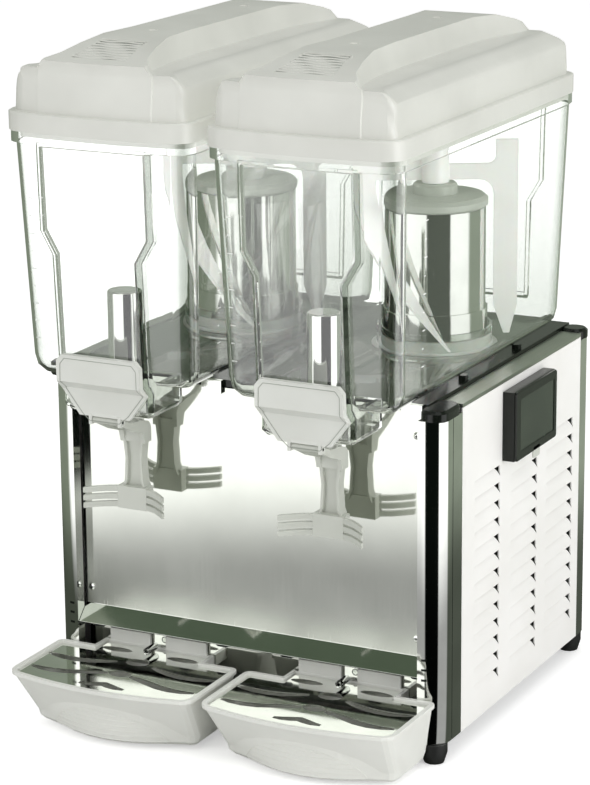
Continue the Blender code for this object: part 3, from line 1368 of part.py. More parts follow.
def stem_rings(x):
    """I-section of the lever's stem, from the foot to the top."""
    path = [
        (PUSHER_TOP - STEM_WEB, STEM_FOOT_HALF * 1.35), (PUSHER_TOP + STEM_DEPTH / 2, STEM_FOOT_HALF),
        ((STEM_TOP + PUSHER_TOP) / 2, STEM_HALF),
        (STEM_TOP - STEM_DEPTH / 2, (CHEEK_INNER + BARREL_HALF) / 2),
    ]
    rings = []
    for z, half in path:
        deep, web, flange = STEM_DEPTH / 2, STEM_WEB / 2, STEM_FLANGE
        section = [(-half, -deep), (flange - half, -deep), (flange - half, -web), (half - flange, -web)]
        section += [(half - flange, -deep), (half, -deep), (half, deep), (half - flange, deep)]
        section += [(half - flange, web), (flange - half, web), (flange - half, deep), (-half, deep)]
        rings.append([(x + a, STEM_PLACE + b, z) for a, b in section])
    return rings


def cheek_outline():
    """(y, z) outline of the two arms from the pivot barrel to the stem."""
    drop = BARREL_RADIUS * 1.6
    top = BRIDGE_HEIGHT + BRIDGE_RADIUS
    front, rear = STEM_PLACE - STEM_DEPTH / 2, STEM_PLACE + STEM_DEPTH / 2
    upper = [(PIVOT_PLACE, PIVOT_HEIGHT + BARREL_RADIUS * 0.8), (VALVE_PLACE - SLEEVE_RADIUS, top)]
    upper += [(VALVE_PLACE + BRIDGE_RADIUS, top - BRIDGE_RADIUS)]
    upper += arc(rear - STEM_DEPTH * 0.8, STEM_TOP, STEM_DEPTH * 0.8, 75, 0, 4)
    lower = [(rear, STEM_TOP - STEM_DEPTH), (front, STEM_TOP - STEM_DEPTH)]
    lower += [(front - drop * 0.6, STEM_TOP - drop * 0.2), (VALVE_PLACE - SLEEVE_RADIUS, top - drop * 1.3)]
    lower += [(PIVOT_PLACE, PIVOT_HEIGHT - BARREL_RADIUS * 0.9)]
    return upper + lower


def pusher_bar(low, high, x):
    """One bar of the cup pusher, bowed forward towards both tips."""
    rings = []
    for share in (-1.0, -0.8, -0.6, -0.36, 0.0, 0.36, 0.6, 0.8, 1.0):
        a = share * PUSHER_HALF
        outside = max(0.0, abs(a) - PUSHER_BLOCK) / (PUSHER_HALF - PUSHER_BLOCK)
        front = -PUSHER_FRONT - PUSHER_BOW * outside ** 1.4
        back = front + PUSHER_THICK * (1.0 - 0.25 * outside)
        rings.append([(x + a, y, z) for y, z in ((front, low), (back, low), (back, high), (front, high))])
    return loft(rings)


def make_lever(side, root, x):
    """Push lever: pivot barrel, two arms, I-section stem and a slotted cup pusher."""
    origin = (x, PIVOT_PLACE, PIVOT_HEIGHT)
    lever = add("lever_" + side, loft(stem_rings(x)), "tap plastic", root, origin)
    name = "lever_%s_" % side
    pivot, reach = (PIVOT_PLACE, PIVOT_HEIGHT), BARREL_HALF - CUT
    barrel = rod(BARREL_RADIUS, x - BARREL_HALF, x + BARREL_HALF, pivot, SMALL_STEPS, "x")
    join(lever, tool(name + "barrel", barrel, root))
    cheeks = []
    for sign in SIDES.values():
        a, b = sorted((sign * CHEEK_INNER, sign * (BARREL_HALF - GAP)))
        cheeks.append(prism(cheek_outline(), "x", x + a, x + b))
    join(lever, tool(name + "cheeks", together(*cheeks), root))
    front, rear = STEM_PLACE - STEM_DEPTH / 2, STEM_PLACE + STEM_DEPTH / 2
    half = CHEEK_INNER + CUT
    low, high = STEM_TOP - STEM_DEPTH + GAP, BRIDGE_HEIGHT - BRIDGE_RADIUS / 2
    throat = block(x - half, x + half, front + GAP, front + STEM_WEB, low, high)
    join(lever, tool(name + "throat", throat, root))
    bridge = rod(BRIDGE_RADIUS, x - reach, x + reach, (VALVE_PLACE, BRIDGE_HEIGHT), 8, "x")
    join(lever, tool(name + "bridge", bridge, root))
    height = PUSHER_TOP - PUSHER_BOTTOM
    pitch = (height + PUSHER_SLOT) / 3
    for i in range(3):
        low = PUSHER_BOTTOM + pitch * i
        join(lever, tool(name + "bar_%d" % i, pusher_bar(low, low + pitch - PUSHER_SLOT, x), root))
    inner = STEM_PLACE + STEM_DEPTH / 2 - STEM_FLANGE
    low, high = PUSHER_BOTTOM - BLOCK_PROUD, PUSHER_TOP + BLOCK_PROUD
    body = block(x - PUSHER_BLOCK, x + PUSHER_BLOCK, -PUSHER_FRONT - GAP, inner, low, high)
    join(lever, tool(name + "block", body, root))
    bore = rod(PIVOT_PIN + GAP, x - EAR_OUTER, x + EAR_OUTER, pivot, 8, "x")
    cut(lever, tool(name + "bore", bore, root))


def make_valve(side, root, x):
    """Steel sleeve in the tap chamber, with the piston and its rubber stopper."""
    valve = (x, VALVE_PLACE)
    floor = CHAMBER_FLOOR + BOWL_WALL + GAP
    r, inner = SLEEVE_RADIUS, SLEEVE_RADIUS - SLEEVE_WALL
    edge = SLEEVE_WALL
    profile = [
        (0.0, SLEEVE_TOP), (r - edge, SLEEVE_TOP), (r, SLEEVE_TOP - edge), (r, floor), (inner, floor),
        (inner, SLEEVE_TOP - 2 * edge), (0.0, SLEEVE_TOP - 2 * edge),
    ]
    sleeve = add("valve_sleeve_" + side, turned(profile, valve, 24), "polished steel", root)
    half = SLEEVE_WINDOW / 2
    front, high = VALVE_PLACE - r - CUT, floor + SLEEVE_WINDOW
    window = block(x - half, x + half, front, VALVE_PLACE, floor - CUT, high)
    cut(sleeve, tool("valve_sleeve_%s_window" % side, window, root))
    smooth(sleeve)
    foot, top = BRIDGE_HEIGHT + BRIDGE_RADIUS + GAP, floor + STOPPER_HEIGHT
    profile = [(0.0, foot), (ROD_RADIUS, foot), (ROD_RADIUS, floor), (STOPPER_RADIUS, floor)]
    profile += [(STOPPER_RADIUS, top), (PISTON_RADIUS, top), (PISTON_RADIUS, top + PISTON_HEIGHT)]
    profile += [(ROD_RADIUS, top + PISTON_HEIGHT), (ROD_RADIUS, ROD_TOP), (0.0, ROD_TOP)]
    smooth(add("valve_piston_" + side, turned(profile, valve, 16), "paddle plastic", root))


# Drip tray


def tray_outline(half, front, bow, step):
    radius = TRAY_CORNER - min(step, TRAY_CORNER / 2)
    back = TRAY_REAR_CORNER - min(step, TRAY_REAR_CORNER / 2)
    return plan(half - step, front - step, TRAY_REAR - step, radius, bow, back)


def tray_rings(wall):
    """Rings of the tray from its rim down, with a half-round bulge low on the front."""
    low = TRAY_BOTTOM + TRAY_FILLET
    high = TRAY_RIM_TOP - TRAY_RIM
    rim = tray_outline(TRAY_HALF, TRAY_FRONT, TRAY_BOW, wall)
    foot = tray_outline(TRAY_LOW_HALF, TRAY_LOW_FRONT, TRAY_LOW_BOW, wall)
    crease = []
    for (x0, y0), (x1, y1) in zip(rim, foot):
        rise = math.sqrt(max(0.0, 1.0 - (x1 / FAN_HALF) ** 2)) if y1 < -TRAY_CORNER else 0.0
        height = low + TRAY_FILLET / 6 + (FAN_TOP - low) * rise
        share = (high - height) / (high - low)
        crease.append((x0 + (x1 - x0) * share, y0 + (y1 - y0) * share, height))
    rings = [ring(rim, high), crease]
    for degrees in (0.0, 35.0, 65.0, 90.0):
        turn = math.radians(degrees)
        radius = TRAY_FILLET - wall
        step = wall + radius * (1.0 - math.cos(turn))
        row = []
        for px, py in tray_outline(TRAY_LOW_HALF, TRAY_LOW_FRONT, TRAY_LOW_BOW, step):
            bulge = max(0.0, 1.0 - (px / FAN_HALF) ** 2) if py < -TRAY_CORNER else 0.0
            row.append((px, py - FAN_BULGE * bulge, low - radius * math.sin(turn)))
        rings.append(row)
    return rings


def make_tray(side, root, x):
    """Drip tray with a rim bead, ledges for its plate and a tongue with two flaps."""
    bead = tray_outline(TRAY_HALF, TRAY_FRONT, TRAY_BOW, -TRAY_BEAD)
    shape = loft([ring(bead, TRAY_RIM_TOP), ring(bead, TRAY_RIM_TOP - TRAY_RIM)] + tray_rings(0.0))
    tray = add("drip_tray_" + side, moved(shape, x), "lid plastic", root)
    name = "drip_tray_%s_" % side
    half, reach, top = TONGUE_HALF, TONGUE_REACH, TRAY_RIM_TOP - GAP
    tongue = block(x - half, x + half, TRAY_REAR - TRAY_CORNER, reach, top - TONGUE_DEPTH, top)
    join(tray, tool(name + "tongue", tongue, root))
    hollow = tray_rings(TRAY_WALL)
    mouth = tray_outline(TRAY_HALF, TRAY_FRONT, TRAY_BOW, TRAY_WALL)
    ledge = tray_outline(TRAY_HALF, TRAY_FRONT, TRAY_BOW, TRAY_WALL + LEDGE_WIDTH)
    seat = GRID_HEIGHT - GAP
    shape = loft([ring(mouth, TRAY_RIM_TOP + CUT), ring(mouth, seat), ring(ledge, seat)] + hollow[1:])
    cut(tray, tool(name + "hollow", moved(shape, x), root))
    inner, floor = half - TRAY_RIM, top - TONGUE_DEPTH + TRAY_WALL
    front = TRAY_REAR - TRAY_WALL - LEDGE_WIDTH - CUT
    slot = block(x - inner, x + inner, front, reach - TRAY_RIM, floor, TRAY_RIM_TOP + CUT)
    cut(tray, tool(name + "slot", slot, root))
    flaps = []
    for sign in SIDES.values():
        a, b = sorted((sign * FLAP_INNER, sign * FLAP_OUTER))
        flaps.append(block(x + a, x + b, reach - FLAP_THICK - GAP, reach - GAP, top - TRAY_RIM, FLAP_TOP))
    join(tray, tool(name + "flaps", together(*flaps), root))
    smooth(tray, 40.0)


def slot_along(line):
    """Outline of a slot that follows a line of shares and narrows to both tips."""
    upper, lower = [], []
    line = [(TRAY_HALF * across, TRAY_FRONT * along) for across, along in line]
    for i, (px, py) in enumerate(line):
        ahead, behind = line[min(i + 1, len(line) - 1)], line[max(i - 1, 0)]
        dx, dy = ahead[0] - behind[0], ahead[1] - behind[1]
        reach = math.hypot(dx, dy)
        share = (i + 0.5) / len(line)
        half = SLOT_WIDTH / 2 * math.sin(math.pi * share) ** 0.6
        upper.append((px - dy / reach * half, py + dx / reach * half))
        lower.append((px + dy / reach * half, py - dx / reach * half))
    return lower + list(reversed(upper))


def oval(cx, cy, rx, ry, steps=12):
    turns = [math.tau * i / steps for i in range(steps)]
    return [(cx + rx * math.cos(t), cy + ry * math.sin(t)) for t in turns]


def make_grid(side, root, x):
    """Polished plate that lies in the tray, with wave-shaped and oval drain slots."""
    step = TRAY_WALL + GRID_PLAY
    outline = tray_outline(TRAY_HALF, TRAY_FRONT, TRAY_BOW, step)
    inset, rear = TRAY_RIM + GRID_PLAY, TRAY_REAR - step
    half, reach = TONGUE_HALF - inset, TONGUE_REACH - inset
    split = [i for i, (px, py) in enumerate(outline) if py > rear - GAP and px > 0][-1] + 1
    tongue = [(half, rear), (half, reach), (-half, reach), (-half, rear)]
    outline = outline[:split] + tongue + outline[split:]
    shape = prism(outline, "z", GRID_HEIGHT, GRID_HEIGHT + GRID_THICK)
    grid = add("tray_grid_" + side, moved(shape, x), "polished steel", root)
    low, high = GRID_HEIGHT - CUT, GRID_HEIGHT + GRID_THICK + CUT
    slots = []
    for line in (FRONT_SLOT_SHARES, REAR_SLOT_SHARES):
        slot = prism(slot_along(line), "z", low, high)
        slots += [slot, mirrored(slot)]
    slots.append(prism(slot_along(BROW_SLOT_SHARES), "z", low, high))
    for cx, cy, rx, ry in OVAL_SHARES:
        outline = oval(TRAY_HALF * cx, TRAY_FRONT * cy, TRAY_HALF * rx, TRAY_FRONT * ry)
        slots.append(prism(outline, "z", low, high))
    cut(grid, tool("tray_grid_%s_slots" % side, moved(together(*slots), x), root))


# Controls


def rocker_outline(pivot, middle):
    """(x, z) outline of a rocker that is pressed in at its top, about its pivot."""
    tall, depth = ROCKER_HEIGHT / 2, ROCKER_REACH / 3
    outline = [(-depth, 0.0), (depth / 4, -tall), (depth * 2, -tall), (depth, 0.0)]
    outline += [(depth * 2, tall), (depth / 4, tall)]
    turn = math.radians(ROCKER_TILT)
    c, s = math.cos(turn), math.sin(turn)
    return [(pivot + a * c - b * s, middle + a * s + b * c) for a, b in outline]


def make_controls(root):
    """Control box on the right side: open frame, two rockers, a knob and a flip cover."""
    x0, x1 = HALF + GAP, BOX_FACE
    wall = BOX_WALL
    frame = block(x0, x1, BOX_FRONT, BOX_REAR, BOX_BOTTOM, BOX_TOP)
    box = add("control_box", frame, "black plastic", root)
    low, high = BOX_BOTTOM + wall, BOX_TOP - wall
    pocket = block(x0 + BOX_BACK, x1 + CUT, BOX_FRONT + wall, BOX_REAR - wall, low, high)
    cut(box, tool("control_box_pocket", pocket, root))
    hinge = (x1 + GAP, (BOX_FRONT + BOX_REAR) / 2, BOX_TOP)
    cover = block(x1 + GAP, COVER_FACE, BOX_FRONT, BOX_REAR, BOX_BOTTOM, BOX_TOP)
    add("control_cover", cover, "smoked plastic", root, hinge)
    face = x0 + BOX_BACK + GAP
    middle = (BOX_BOTTOM + BOX_TOP) / 2
    for number, y in enumerate(ROCKER_PLACES, 1):
        pivot = face + ROCKER_REACH / 3
        shape = prism(rocker_outline(pivot, middle), "y", y - ROCKER_HALF, y + ROCKER_HALF)
        add("rocker_switch_%d" % number, shape, "black plastic", root, (pivot, y, middle))
    end = face + KNOB_REACH
    profile = [(0.0, face), (KNOB_RADIUS, face), (KNOB_RADIUS * 0.85, end), (0.0, end)]
    knob = turned(profile, (KNOB_PLACE, middle), SMALL_STEPS, "x")
    smooth(add("thermostat_knob", knob, "black plastic", root, (face, KNOB_PLACE, middle)))


# Cooling system


def make_cooling(root):
    """Compressor can, finned condenser, fan motor on its bracket, and the fan."""
    floor = FOOT_HEIGHT + SHEET + 2 * GAP
    r, top = COMPRESSOR_RADIUS, floor + COMPRESSOR_HEIGHT
    profile = [(0.0, floor), (r * 0.85, floor), (r, floor + r * 0.3), (r, top - r * 0.6)]
    profile += [(r * 0.8, top - r * 0.2), (r * 0.4, top), (0.0, top)]
    smooth(add("compressor", turned(profile, COMPRESSOR_PLACE, 20), "black enamel", root))
    outline = []
    pitch = (CONDENSER_REAR - CONDENSER_FRONT) / CONDENSER_FINS
    for i in range(CONDENSER_FINS):
        y = CONDENSER_FRONT + pitch * i
        outline += [(CONDENSER_SIDE, y), (CONDENSER_SIDE, y + pitch * CONDENSER_FIN_SHARE)]
        outline += [(CONDENSER_SIDE - CONDENSER_FIN_DEPTH, y + pitch * CONDENSER_FIN_SHARE)]
        outline += [(CONDENSER_SIDE - CONDENSER_FIN_DEPTH, y + pitch)]
    back = CONDENSER_SIDE - CONDENSER_THICK
    outline += [(back, CONDENSER_REAR), (back, CONDENSER_FRONT)]
    outline += [(CONDENSER_SIDE - CONDENSER_FIN_DEPTH, CONDENSER_FRONT)]
    add("condenser", prism(outline, "z", floor, CONDENSER_TOP), "dark steel", root)
    x, y, z = FAN_PLACE
    start = x - FAN_DEPTH / 2 - GAP
    motor = rod(FAN_MOTOR_RADIUS, start - FAN_MOTOR_LENGTH, start, (y, z), 16, "x")
    motor = smooth(add("fan_motor", motor, "dark steel", root))
    x0, x1 = start - FAN_MOTOR_LENGTH, start - FAN_MOTOR_LENGTH / 2
    foot = block(x0, x1, y - FAN_BRACKET, y + FAN_BRACKET, floor, z)
    join(motor, tool("fan_motor_foot", foot, root))
    hub = rod(FAN_HUB, x - FAN_DEPTH / 2, x + FAN_DEPTH / 2, (y, z), 15, "x")
    fan = add("condenser_fan", hub, "black plastic", root, FAN_PLACE)
    blades = []
    for i in range(FAN_BLADES):
        rings = []
        for share in (0.0, 0.5, 1.0):
            radius = FAN_HUB * 0.8 + (FAN_RADIUS - FAN_HUB * 0.8) * share
            spread = math.radians(FAN_ROOT_ANGLE + (FAN_TIP_ANGLE - FAN_ROOT_ANGLE) * share)
            row = []
            for lean, turn in ((-1, -1), (1, 1), (1, 1), (-1, -1)):
                thick = FAN_SHEET if len(row) in (2, 3) else 0.0
                angle = math.tau * i / FAN_BLADES + turn * spread
                across = lean * (FAN_DEPTH / 2 - FAN_SHEET) * (1.0 - 0.4 * share)
                row.append((x + across + thick, y + radius * math.cos(angle), z + radius * math.sin(angle)))
            rings.append(row)
        blades.append(loft(rings))
    join(fan, tool("condenser_fan_blades", together(*blades), root))


def build():
    clear_scene()
    root = bpy.data.objects.new("dispenser_origin", None)
    bpy.context.scene.collection.objects.link(root)
    root.location = [-c for c in CENTRE]
    make_posts(root)
    make_feet(root)
    make_front_panel(root)
    make_base_pan(root)
    make_side_panels(root)
    make_rear_panel(root)
    make_deck(root)
    make_latches(root)
    make_tray_bracket(root)
    make_controls(root)
    make_cooling(root)
    for side, sign in SIDES.items():
        x = sign * UNIT_OFFSET
        make_bowl(side, root, x)
        make_lid(side, root, x)
        make_drum(side, root, x)
        make_seal(side, root, x)
        make_paddle(side, root, x)
        make_mixer(side, root, x)
        make_tap_cover(side, root, x)
        make_lever(side, root, x)
        make_valve(side, root, x)
        make_tray(side, root, x)
        make_grid(side, root, x)


build()
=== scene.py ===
# %% [markdown]
# # A twin cold drink dispenser
# The machine stands on a steel cabinet that hides its cooling. Two clear bowls sit on the cabinet,
# each with a lid, a chilled drum, a turning paddle and a tap with a push lever over a drip tray.
# The solid parts arrive as a fixed frame. This notebook gives them their finishes, adds the small
# pieces that a plain solid leaves out, and lights them like a catalogue picture.

# %% The solid parts
import json
import math
import bmesh
import bpy
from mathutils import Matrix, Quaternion, Vector

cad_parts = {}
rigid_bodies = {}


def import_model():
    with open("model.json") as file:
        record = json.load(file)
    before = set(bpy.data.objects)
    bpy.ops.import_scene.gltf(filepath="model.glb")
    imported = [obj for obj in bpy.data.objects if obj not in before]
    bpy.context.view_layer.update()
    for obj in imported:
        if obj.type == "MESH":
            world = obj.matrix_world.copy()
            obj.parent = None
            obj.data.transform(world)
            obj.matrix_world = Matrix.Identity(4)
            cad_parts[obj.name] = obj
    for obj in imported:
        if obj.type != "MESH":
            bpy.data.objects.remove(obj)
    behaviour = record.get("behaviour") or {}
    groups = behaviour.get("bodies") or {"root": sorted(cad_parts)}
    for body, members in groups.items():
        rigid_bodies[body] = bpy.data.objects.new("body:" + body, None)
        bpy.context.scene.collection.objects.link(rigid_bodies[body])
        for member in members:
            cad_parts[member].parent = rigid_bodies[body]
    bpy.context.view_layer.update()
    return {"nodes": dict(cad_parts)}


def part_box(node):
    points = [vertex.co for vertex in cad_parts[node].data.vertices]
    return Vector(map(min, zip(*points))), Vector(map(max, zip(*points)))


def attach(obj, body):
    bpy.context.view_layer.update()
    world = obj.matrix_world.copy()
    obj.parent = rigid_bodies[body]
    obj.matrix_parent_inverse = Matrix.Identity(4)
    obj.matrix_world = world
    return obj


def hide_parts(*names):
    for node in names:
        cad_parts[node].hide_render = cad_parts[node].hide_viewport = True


for leftover in list(bpy.data.objects):
    bpy.data.objects.remove(leftover)
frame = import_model()
solid = frame["nodes"]
SIDES = ("left", "right")
MM = 0.001

# %% [markdown]
# ## The camera
# A catalogue picture of a machine is taken from a few metres away with a long lens, so that the
# upright edges stay nearly parallel. The camera stands to the right of the machine and a little
# above its lid. Its place and turn are plain numbers, because they were measured once and stay.

# %% The camera
AZIMUTH, ELEVATION, ROLL = (math.radians(a) for a in (27.01, 15.25, -0.53))
CAMERA_PLACE = (1.22745, -2.43525, 1.0475)
LENS_MM, SENSOR_MM, SIGHT_END = 135.0, 36.0, 60.0
level = math.cos(ELEVATION)
looking = Vector((-math.sin(AZIMUTH) * level, math.cos(AZIMUTH) * level, -math.sin(ELEVATION)))
lens = bpy.data.cameras.new("long_lens")
lens.lens, lens.sensor_width, lens.clip_end = LENS_MM, SENSOR_MM, SIGHT_END
camera = bpy.data.objects.new("camera", lens)
camera.location = CAMERA_PLACE
camera.rotation_mode = "QUATERNION"
camera.rotation_quaternion = looking.to_track_quat("-Z", "Y") @ Quaternion((0.0, 0.0, 1.0), ROLL)
bpy.context.scene.collection.objects.link(camera)
bpy.context.scene.camera = camera
print("camera stands", round(camera.location.length, 2), "m from the machine")

# %% [markdown]
# ## Colours and nodes
# Colours are easiest to read and compare as the hex codes of a picture, but a renderer works with
# the amount of light. One function turns the first into the second. A second function adds one node
# with its settings and links, so that each finish below reads as a short list.

# %% Colours and nodes
MATH, MIX, RANGE = "ShaderNodeMath", "ShaderNodeMix", "ShaderNodeMapRange"
PLACES, APART, NOISE = "ShaderNodeTexCoord", "ShaderNodeSeparateXYZ", "ShaderNodeTexNoise"


def light_of(hex_code):
    """Linear colour of an sRGB hex code."""
    shares = [int(hex_code[i:i + 2], 16) / 255.0 for i in (0, 2, 4)]
    return tuple(s / 12.92 if s <= 0.04045 else ((s + 0.055) / 1.055) ** 2.4 for s in shares) + (1.0,)


def add_node(tree, kind, into=None, **settings):
    """One node. The keys of into are its inputs, and a value there is a number or another socket."""
    made = tree.nodes.new(kind)
    for name, value in settings.items():
        setattr(made, name, value)
    for key, value in (into or {}).items():
        if isinstance(value, bpy.types.NodeSocket):
            tree.links.new(value, made.inputs[key])
        else:
            made.inputs[key].default_value = value
    return made


WHITE = light_of("FFFFFF")
print("mid grey 808080 is", round(light_of("808080")[0], 3), "of white")

# %% [markdown]
# ## The studio
# Polished steel shows little but what stands round it. The machine was pictured in a white room
# with a dark side where the photographer stands, a dark screen at the far left and grey walls
# behind. One ramp of tones over the compass directions describes that room. Three things share
# it: the floor as steel sees it, a ring of screens round the machine, and the sky. To the camera
# the room stays plain white, also through the bowls, and matt surfaces see an even pale light.

# %% The tones of the room
ROOM_TONES = (
    (-180, "7A8176"), (-134, "747B70"), (-126, "666E61"), (-66, "6D7467"), (-56, "FFFFFF"), (-2, "FFFFFF"),
    (3, "070A08"), (66, "080C09"), (70, "FFFFFF"), (117, "FFFFFF"), (124, "767E71"), (180, "7E8579"),
)
RING_APEX = (0.19, -0.13, 0.0)
ROOM_BRIGHT = 1.65  # a lit screen is brighter than white paper, and steel gives back two thirds of it


def room_tone(tree, place, apex=(0.0, 0.0, 0.0)):
    """Colour of the room in the compass direction of a place, seen from the apex."""
    near = add_node(tree, "ShaderNodeVectorMath", {0: place, 1: apex}, operation="SUBTRACT")
    east, north = add_node(tree, APART, {0: near.outputs[0]}).outputs[:2]
    forward = add_node(tree, MATH, {0: north, 1: -1.0}, operation="MULTIPLY")
    turn = add_node(tree, MATH, {0: east, 1: forward.outputs[0]}, operation="ARCTAN2")
    share = add_node(tree, RANGE, {0: turn.outputs[0], 1: -math.pi, 2: math.pi})
    ramp = add_node(tree, "ShaderNodeValToRGB", {0: share.outputs[0]})
    stops = ramp.color_ramp.elements
    while len(stops) < len(ROOM_TONES):
        stops.new(0.5)
    for stop, (degrees, tone) in zip(stops, ROOM_TONES):
        stop.position, stop.color = (degrees + 180) / 360, light_of(tone)
    return ramp.outputs[0]


def ray_kinds(tree):
    """Two switches. The first is on for rays that come straight from the camera, through clear plastic
    too. The second is on for rays that a polished surface has sent on. Both are off once a matt
    surface has scattered the ray, so neither adds light to the machine."""
    ray = add_node(tree, "ShaderNodeLightPath").outputs
    eye, clear, gloss, scattered = (ray[kind] for kind in (
        "Is Camera Ray", "Is Transmission Ray", "Is Glossy Ray", "Diffuse Depth"))
    whole = add_node(tree, MATH, {0: 1.0, 1: scattered}, operation="SUBTRACT", use_clamp=True).outputs[0]
    sent_on = add_node(tree, MATH, {0: ray["Glossy Depth"], 1: 1.0}, operation="MINIMUM").outputs[0]
    straight = add_node(tree, MATH, {0: whole, 1: sent_on}, operation="SUBTRACT", use_clamp=True).outputs[0]
    looks = add_node(tree, MATH, {0: eye, 1: clear}, operation="MAXIMUM")
    seen = add_node(tree, MATH, {0: straight, 1: looks.outputs[0]}, operation="MULTIPLY")
    shiny = add_node(tree, MATH, {0: gloss, 1: clear}, operation="MAXIMUM")
    unscattered = add_node(tree, MATH, {0: sent_on, 1: whole}, operation="MULTIPLY")
    mirrored = add_node(tree, MATH, {0: unscattered.outputs[0], 1: shiny.outputs[0]}, operation="MULTIPLY")
    return seen.outputs[0], mirrored.outputs[0]


print("tones round the room:", len(ROOM_TONES))

# %% [markdown]
# ## The air of the studio
# The sky has three faces. Matt surfaces get an even pale light from it, polished ones see the tones
# of the room below a dark ceiling, and the camera sees white. The ceiling starts high up, where only
# a mirror that leans back looks, such as the lip of the front panel.

# %% The sky
SKY_LIGHT = 0.60
CEILING = "465043"
CEILING_FROM, CEILING_FULL = 0.62, 0.72  # height of a direction: 0 is level and 1 is straight up
world = bpy.data.worlds.new("studio_air")
bpy.context.scene.world = world
world.use_nodes = True
sky = world.node_tree
sky.nodes.clear()
directions = add_node(sky, PLACES).outputs["Generated"]
height = add_node(sky, APART, {0: directions}).outputs[2]
high = add_node(sky, RANGE, {0: height, 1: CEILING_FROM, 2: CEILING_FULL}, interpolation_type="SMOOTHSTEP")
low_sky = room_tone(sky, directions)
mirrored = add_node(sky, MIX, {0: high.outputs[0], 6: low_sky, 7: light_of(CEILING)}, data_type="RGBA")
by_eye, by_mirror = ray_kinds(sky)
plain = add_node(sky, MIX, {0: by_eye, 6: (SKY_LIGHT,) * 3 + (1.0,), 7: WHITE}, data_type="RGBA")
shown = add_node(sky, MIX, {0: by_mirror, 6: plain.outputs[2], 7: mirrored.outputs[2]}, data_type="RGBA")
strength = add_node(sky, RANGE, {0: by_mirror, 3: 1.0, 4: ROOM_BRIGHT})
air = add_node(sky, "ShaderNodeBackground", {"Color": shown.outputs[2], "Strength": strength.outputs[0]})
add_node(sky, "ShaderNodeOutputWorld", {"Surface": air.outputs[0]})
print("sky light:", SKY_LIGHT)

# %% [markdown]
# ## The floor
# The machine stands on a sheet of white paper that runs on behind it. Paper is matt, so it keeps the
# machine's soft shadow. The picture keeps it white everywhere else by a little glow that only the
# camera sees. To polished steel the same sheet shows the tones of the room, dim near the machine,
# where its own shadow lies, and bright further out.

# %% The floor
FLOOR_REACH = 14.0
FLOOR_NEAR, FLOOR_OPEN, FLOOR_DIM = 0.53, 1.00, 0.26 * ROOM_BRIGHT
PAPER_LIFT, LIFT_THROUGH = 0.42, 0.90  # glow for the bare eye, and for the eye behind clear plastic
FIBRE_PATCHES = 6.0  # soft patches in a metre of paper


def stage_piece(name, points, faces, finish):
    """A part of the studio, which isn't part of the machine."""
    mesh = bpy.data.meshes.new(name)
    mesh.from_pydata(points, [], faces)
    mesh.materials.append(finish)
    piece = bpy.data.objects.new(name, mesh)
    bpy.context.scene.collection.objects.link(piece)
    return piece


def white_paper():
    finish = bpy.data.materials.new("white_paper_sweep")
    finish.use_nodes = True
    tree = finish.node_tree
    tree.nodes.clear()
    spot = add_node(tree, PLACES).outputs["Object"]
    fibre = add_node(tree, NOISE, {"Vector": spot, "Scale": FIBRE_PATCHES, "Detail": 3.0})
    tone = add_node(tree, MIX, {0: fibre.outputs["Fac"], 6: light_of("F8F8F7"), 7: light_of("FDFDFD")},
                    data_type="RGBA")
    sheet = add_node(tree, "ShaderNodeBsdfDiffuse", {"Color": tone.outputs[2]})
    through = add_node(tree, "ShaderNodeLightPath").outputs["Is Transmission Ray"]
    raised = add_node(tree, RANGE, {0: through, 3: PAPER_LIFT, 4: LIFT_THROUGH})
    lift = add_node(tree, "ShaderNodeEmission", {"Color": WHITE, "Strength": raised.outputs[0]})
    lifted = add_node(tree, "ShaderNodeAddShader", {0: sheet.outputs[0], 1: lift.outputs[0]})
    by_eye, by_mirror = ray_kinds(tree)
    matt = add_node(tree, "ShaderNodeMixShader", {0: by_eye, 1: sheet.outputs[0], 2: lifted.outputs[0]})
    away = add_node(tree, "ShaderNodeVectorMath", {0: spot}, operation="LENGTH").outputs["Value"]
    open_floor = add_node(tree, RANGE, {0: away, 1: FLOOR_NEAR, 2: FLOOR_OPEN, 3: FLOOR_DIM, 4: ROOM_BRIGHT},
                          interpolation_type="SMOOTHSTEP")
    tones = room_tone(tree, spot, RING_APEX)
    glow = add_node(tree, "ShaderNodeEmission", {"Color": tones, "Strength": open_floor.outputs[0]})
    either = add_node(tree, "ShaderNodeMixShader", {0: by_mirror, 1: matt.outputs[0], 2: glow.outputs[0]})
    add_node(tree, "ShaderNodeOutputMaterial", {"Surface": either.outputs[0]})
    return finish


corners = [(x * FLOOR_REACH, y * FLOOR_REACH, 0.0) for x, y in ((-1, -1), (1, -1), (1, 1), (-1, 1))]
stage_piece("floor", corners, [(0, 1, 2, 3)], white_paper())
print("floor:", 2 * FLOOR_REACH, "m wide")

# %% [markdown]
# ## The screens round the machine
# A photographer sets tall screens round polished steel, so that it mirrors clean bands and not the
# clutter of a room. Here they form one ring a metre away with the tones of the room on it. Only a
# polished surface sees the ring: to every other ray it is open air, and it throws no shadow.

# %% The ring of screens
RING_RADIUS, RING_HEIGHT, RING_PARTS = 0.98, 1.15, 96


def screen_board():
    finish = bpy.data.materials.new("studio_screens")
    finish.use_nodes = True
    tree = finish.node_tree
    tree.nodes.clear()
    tones = room_tone(tree, add_node(tree, PLACES).outputs["Object"], RING_APEX)
    glow = add_node(tree, "ShaderNodeEmission", {"Color": tones, "Strength": ROOM_BRIGHT}).outputs[0]
    open_air = add_node(tree, "ShaderNodeBsdfTransparent").outputs[0]
    either = add_node(tree, "ShaderNodeMixShader", {0: ray_kinds(tree)[1], 1: open_air, 2: glow})
    add_node(tree, "ShaderNodeOutputMaterial", {"Surface": either.outputs[0]})
    return finish


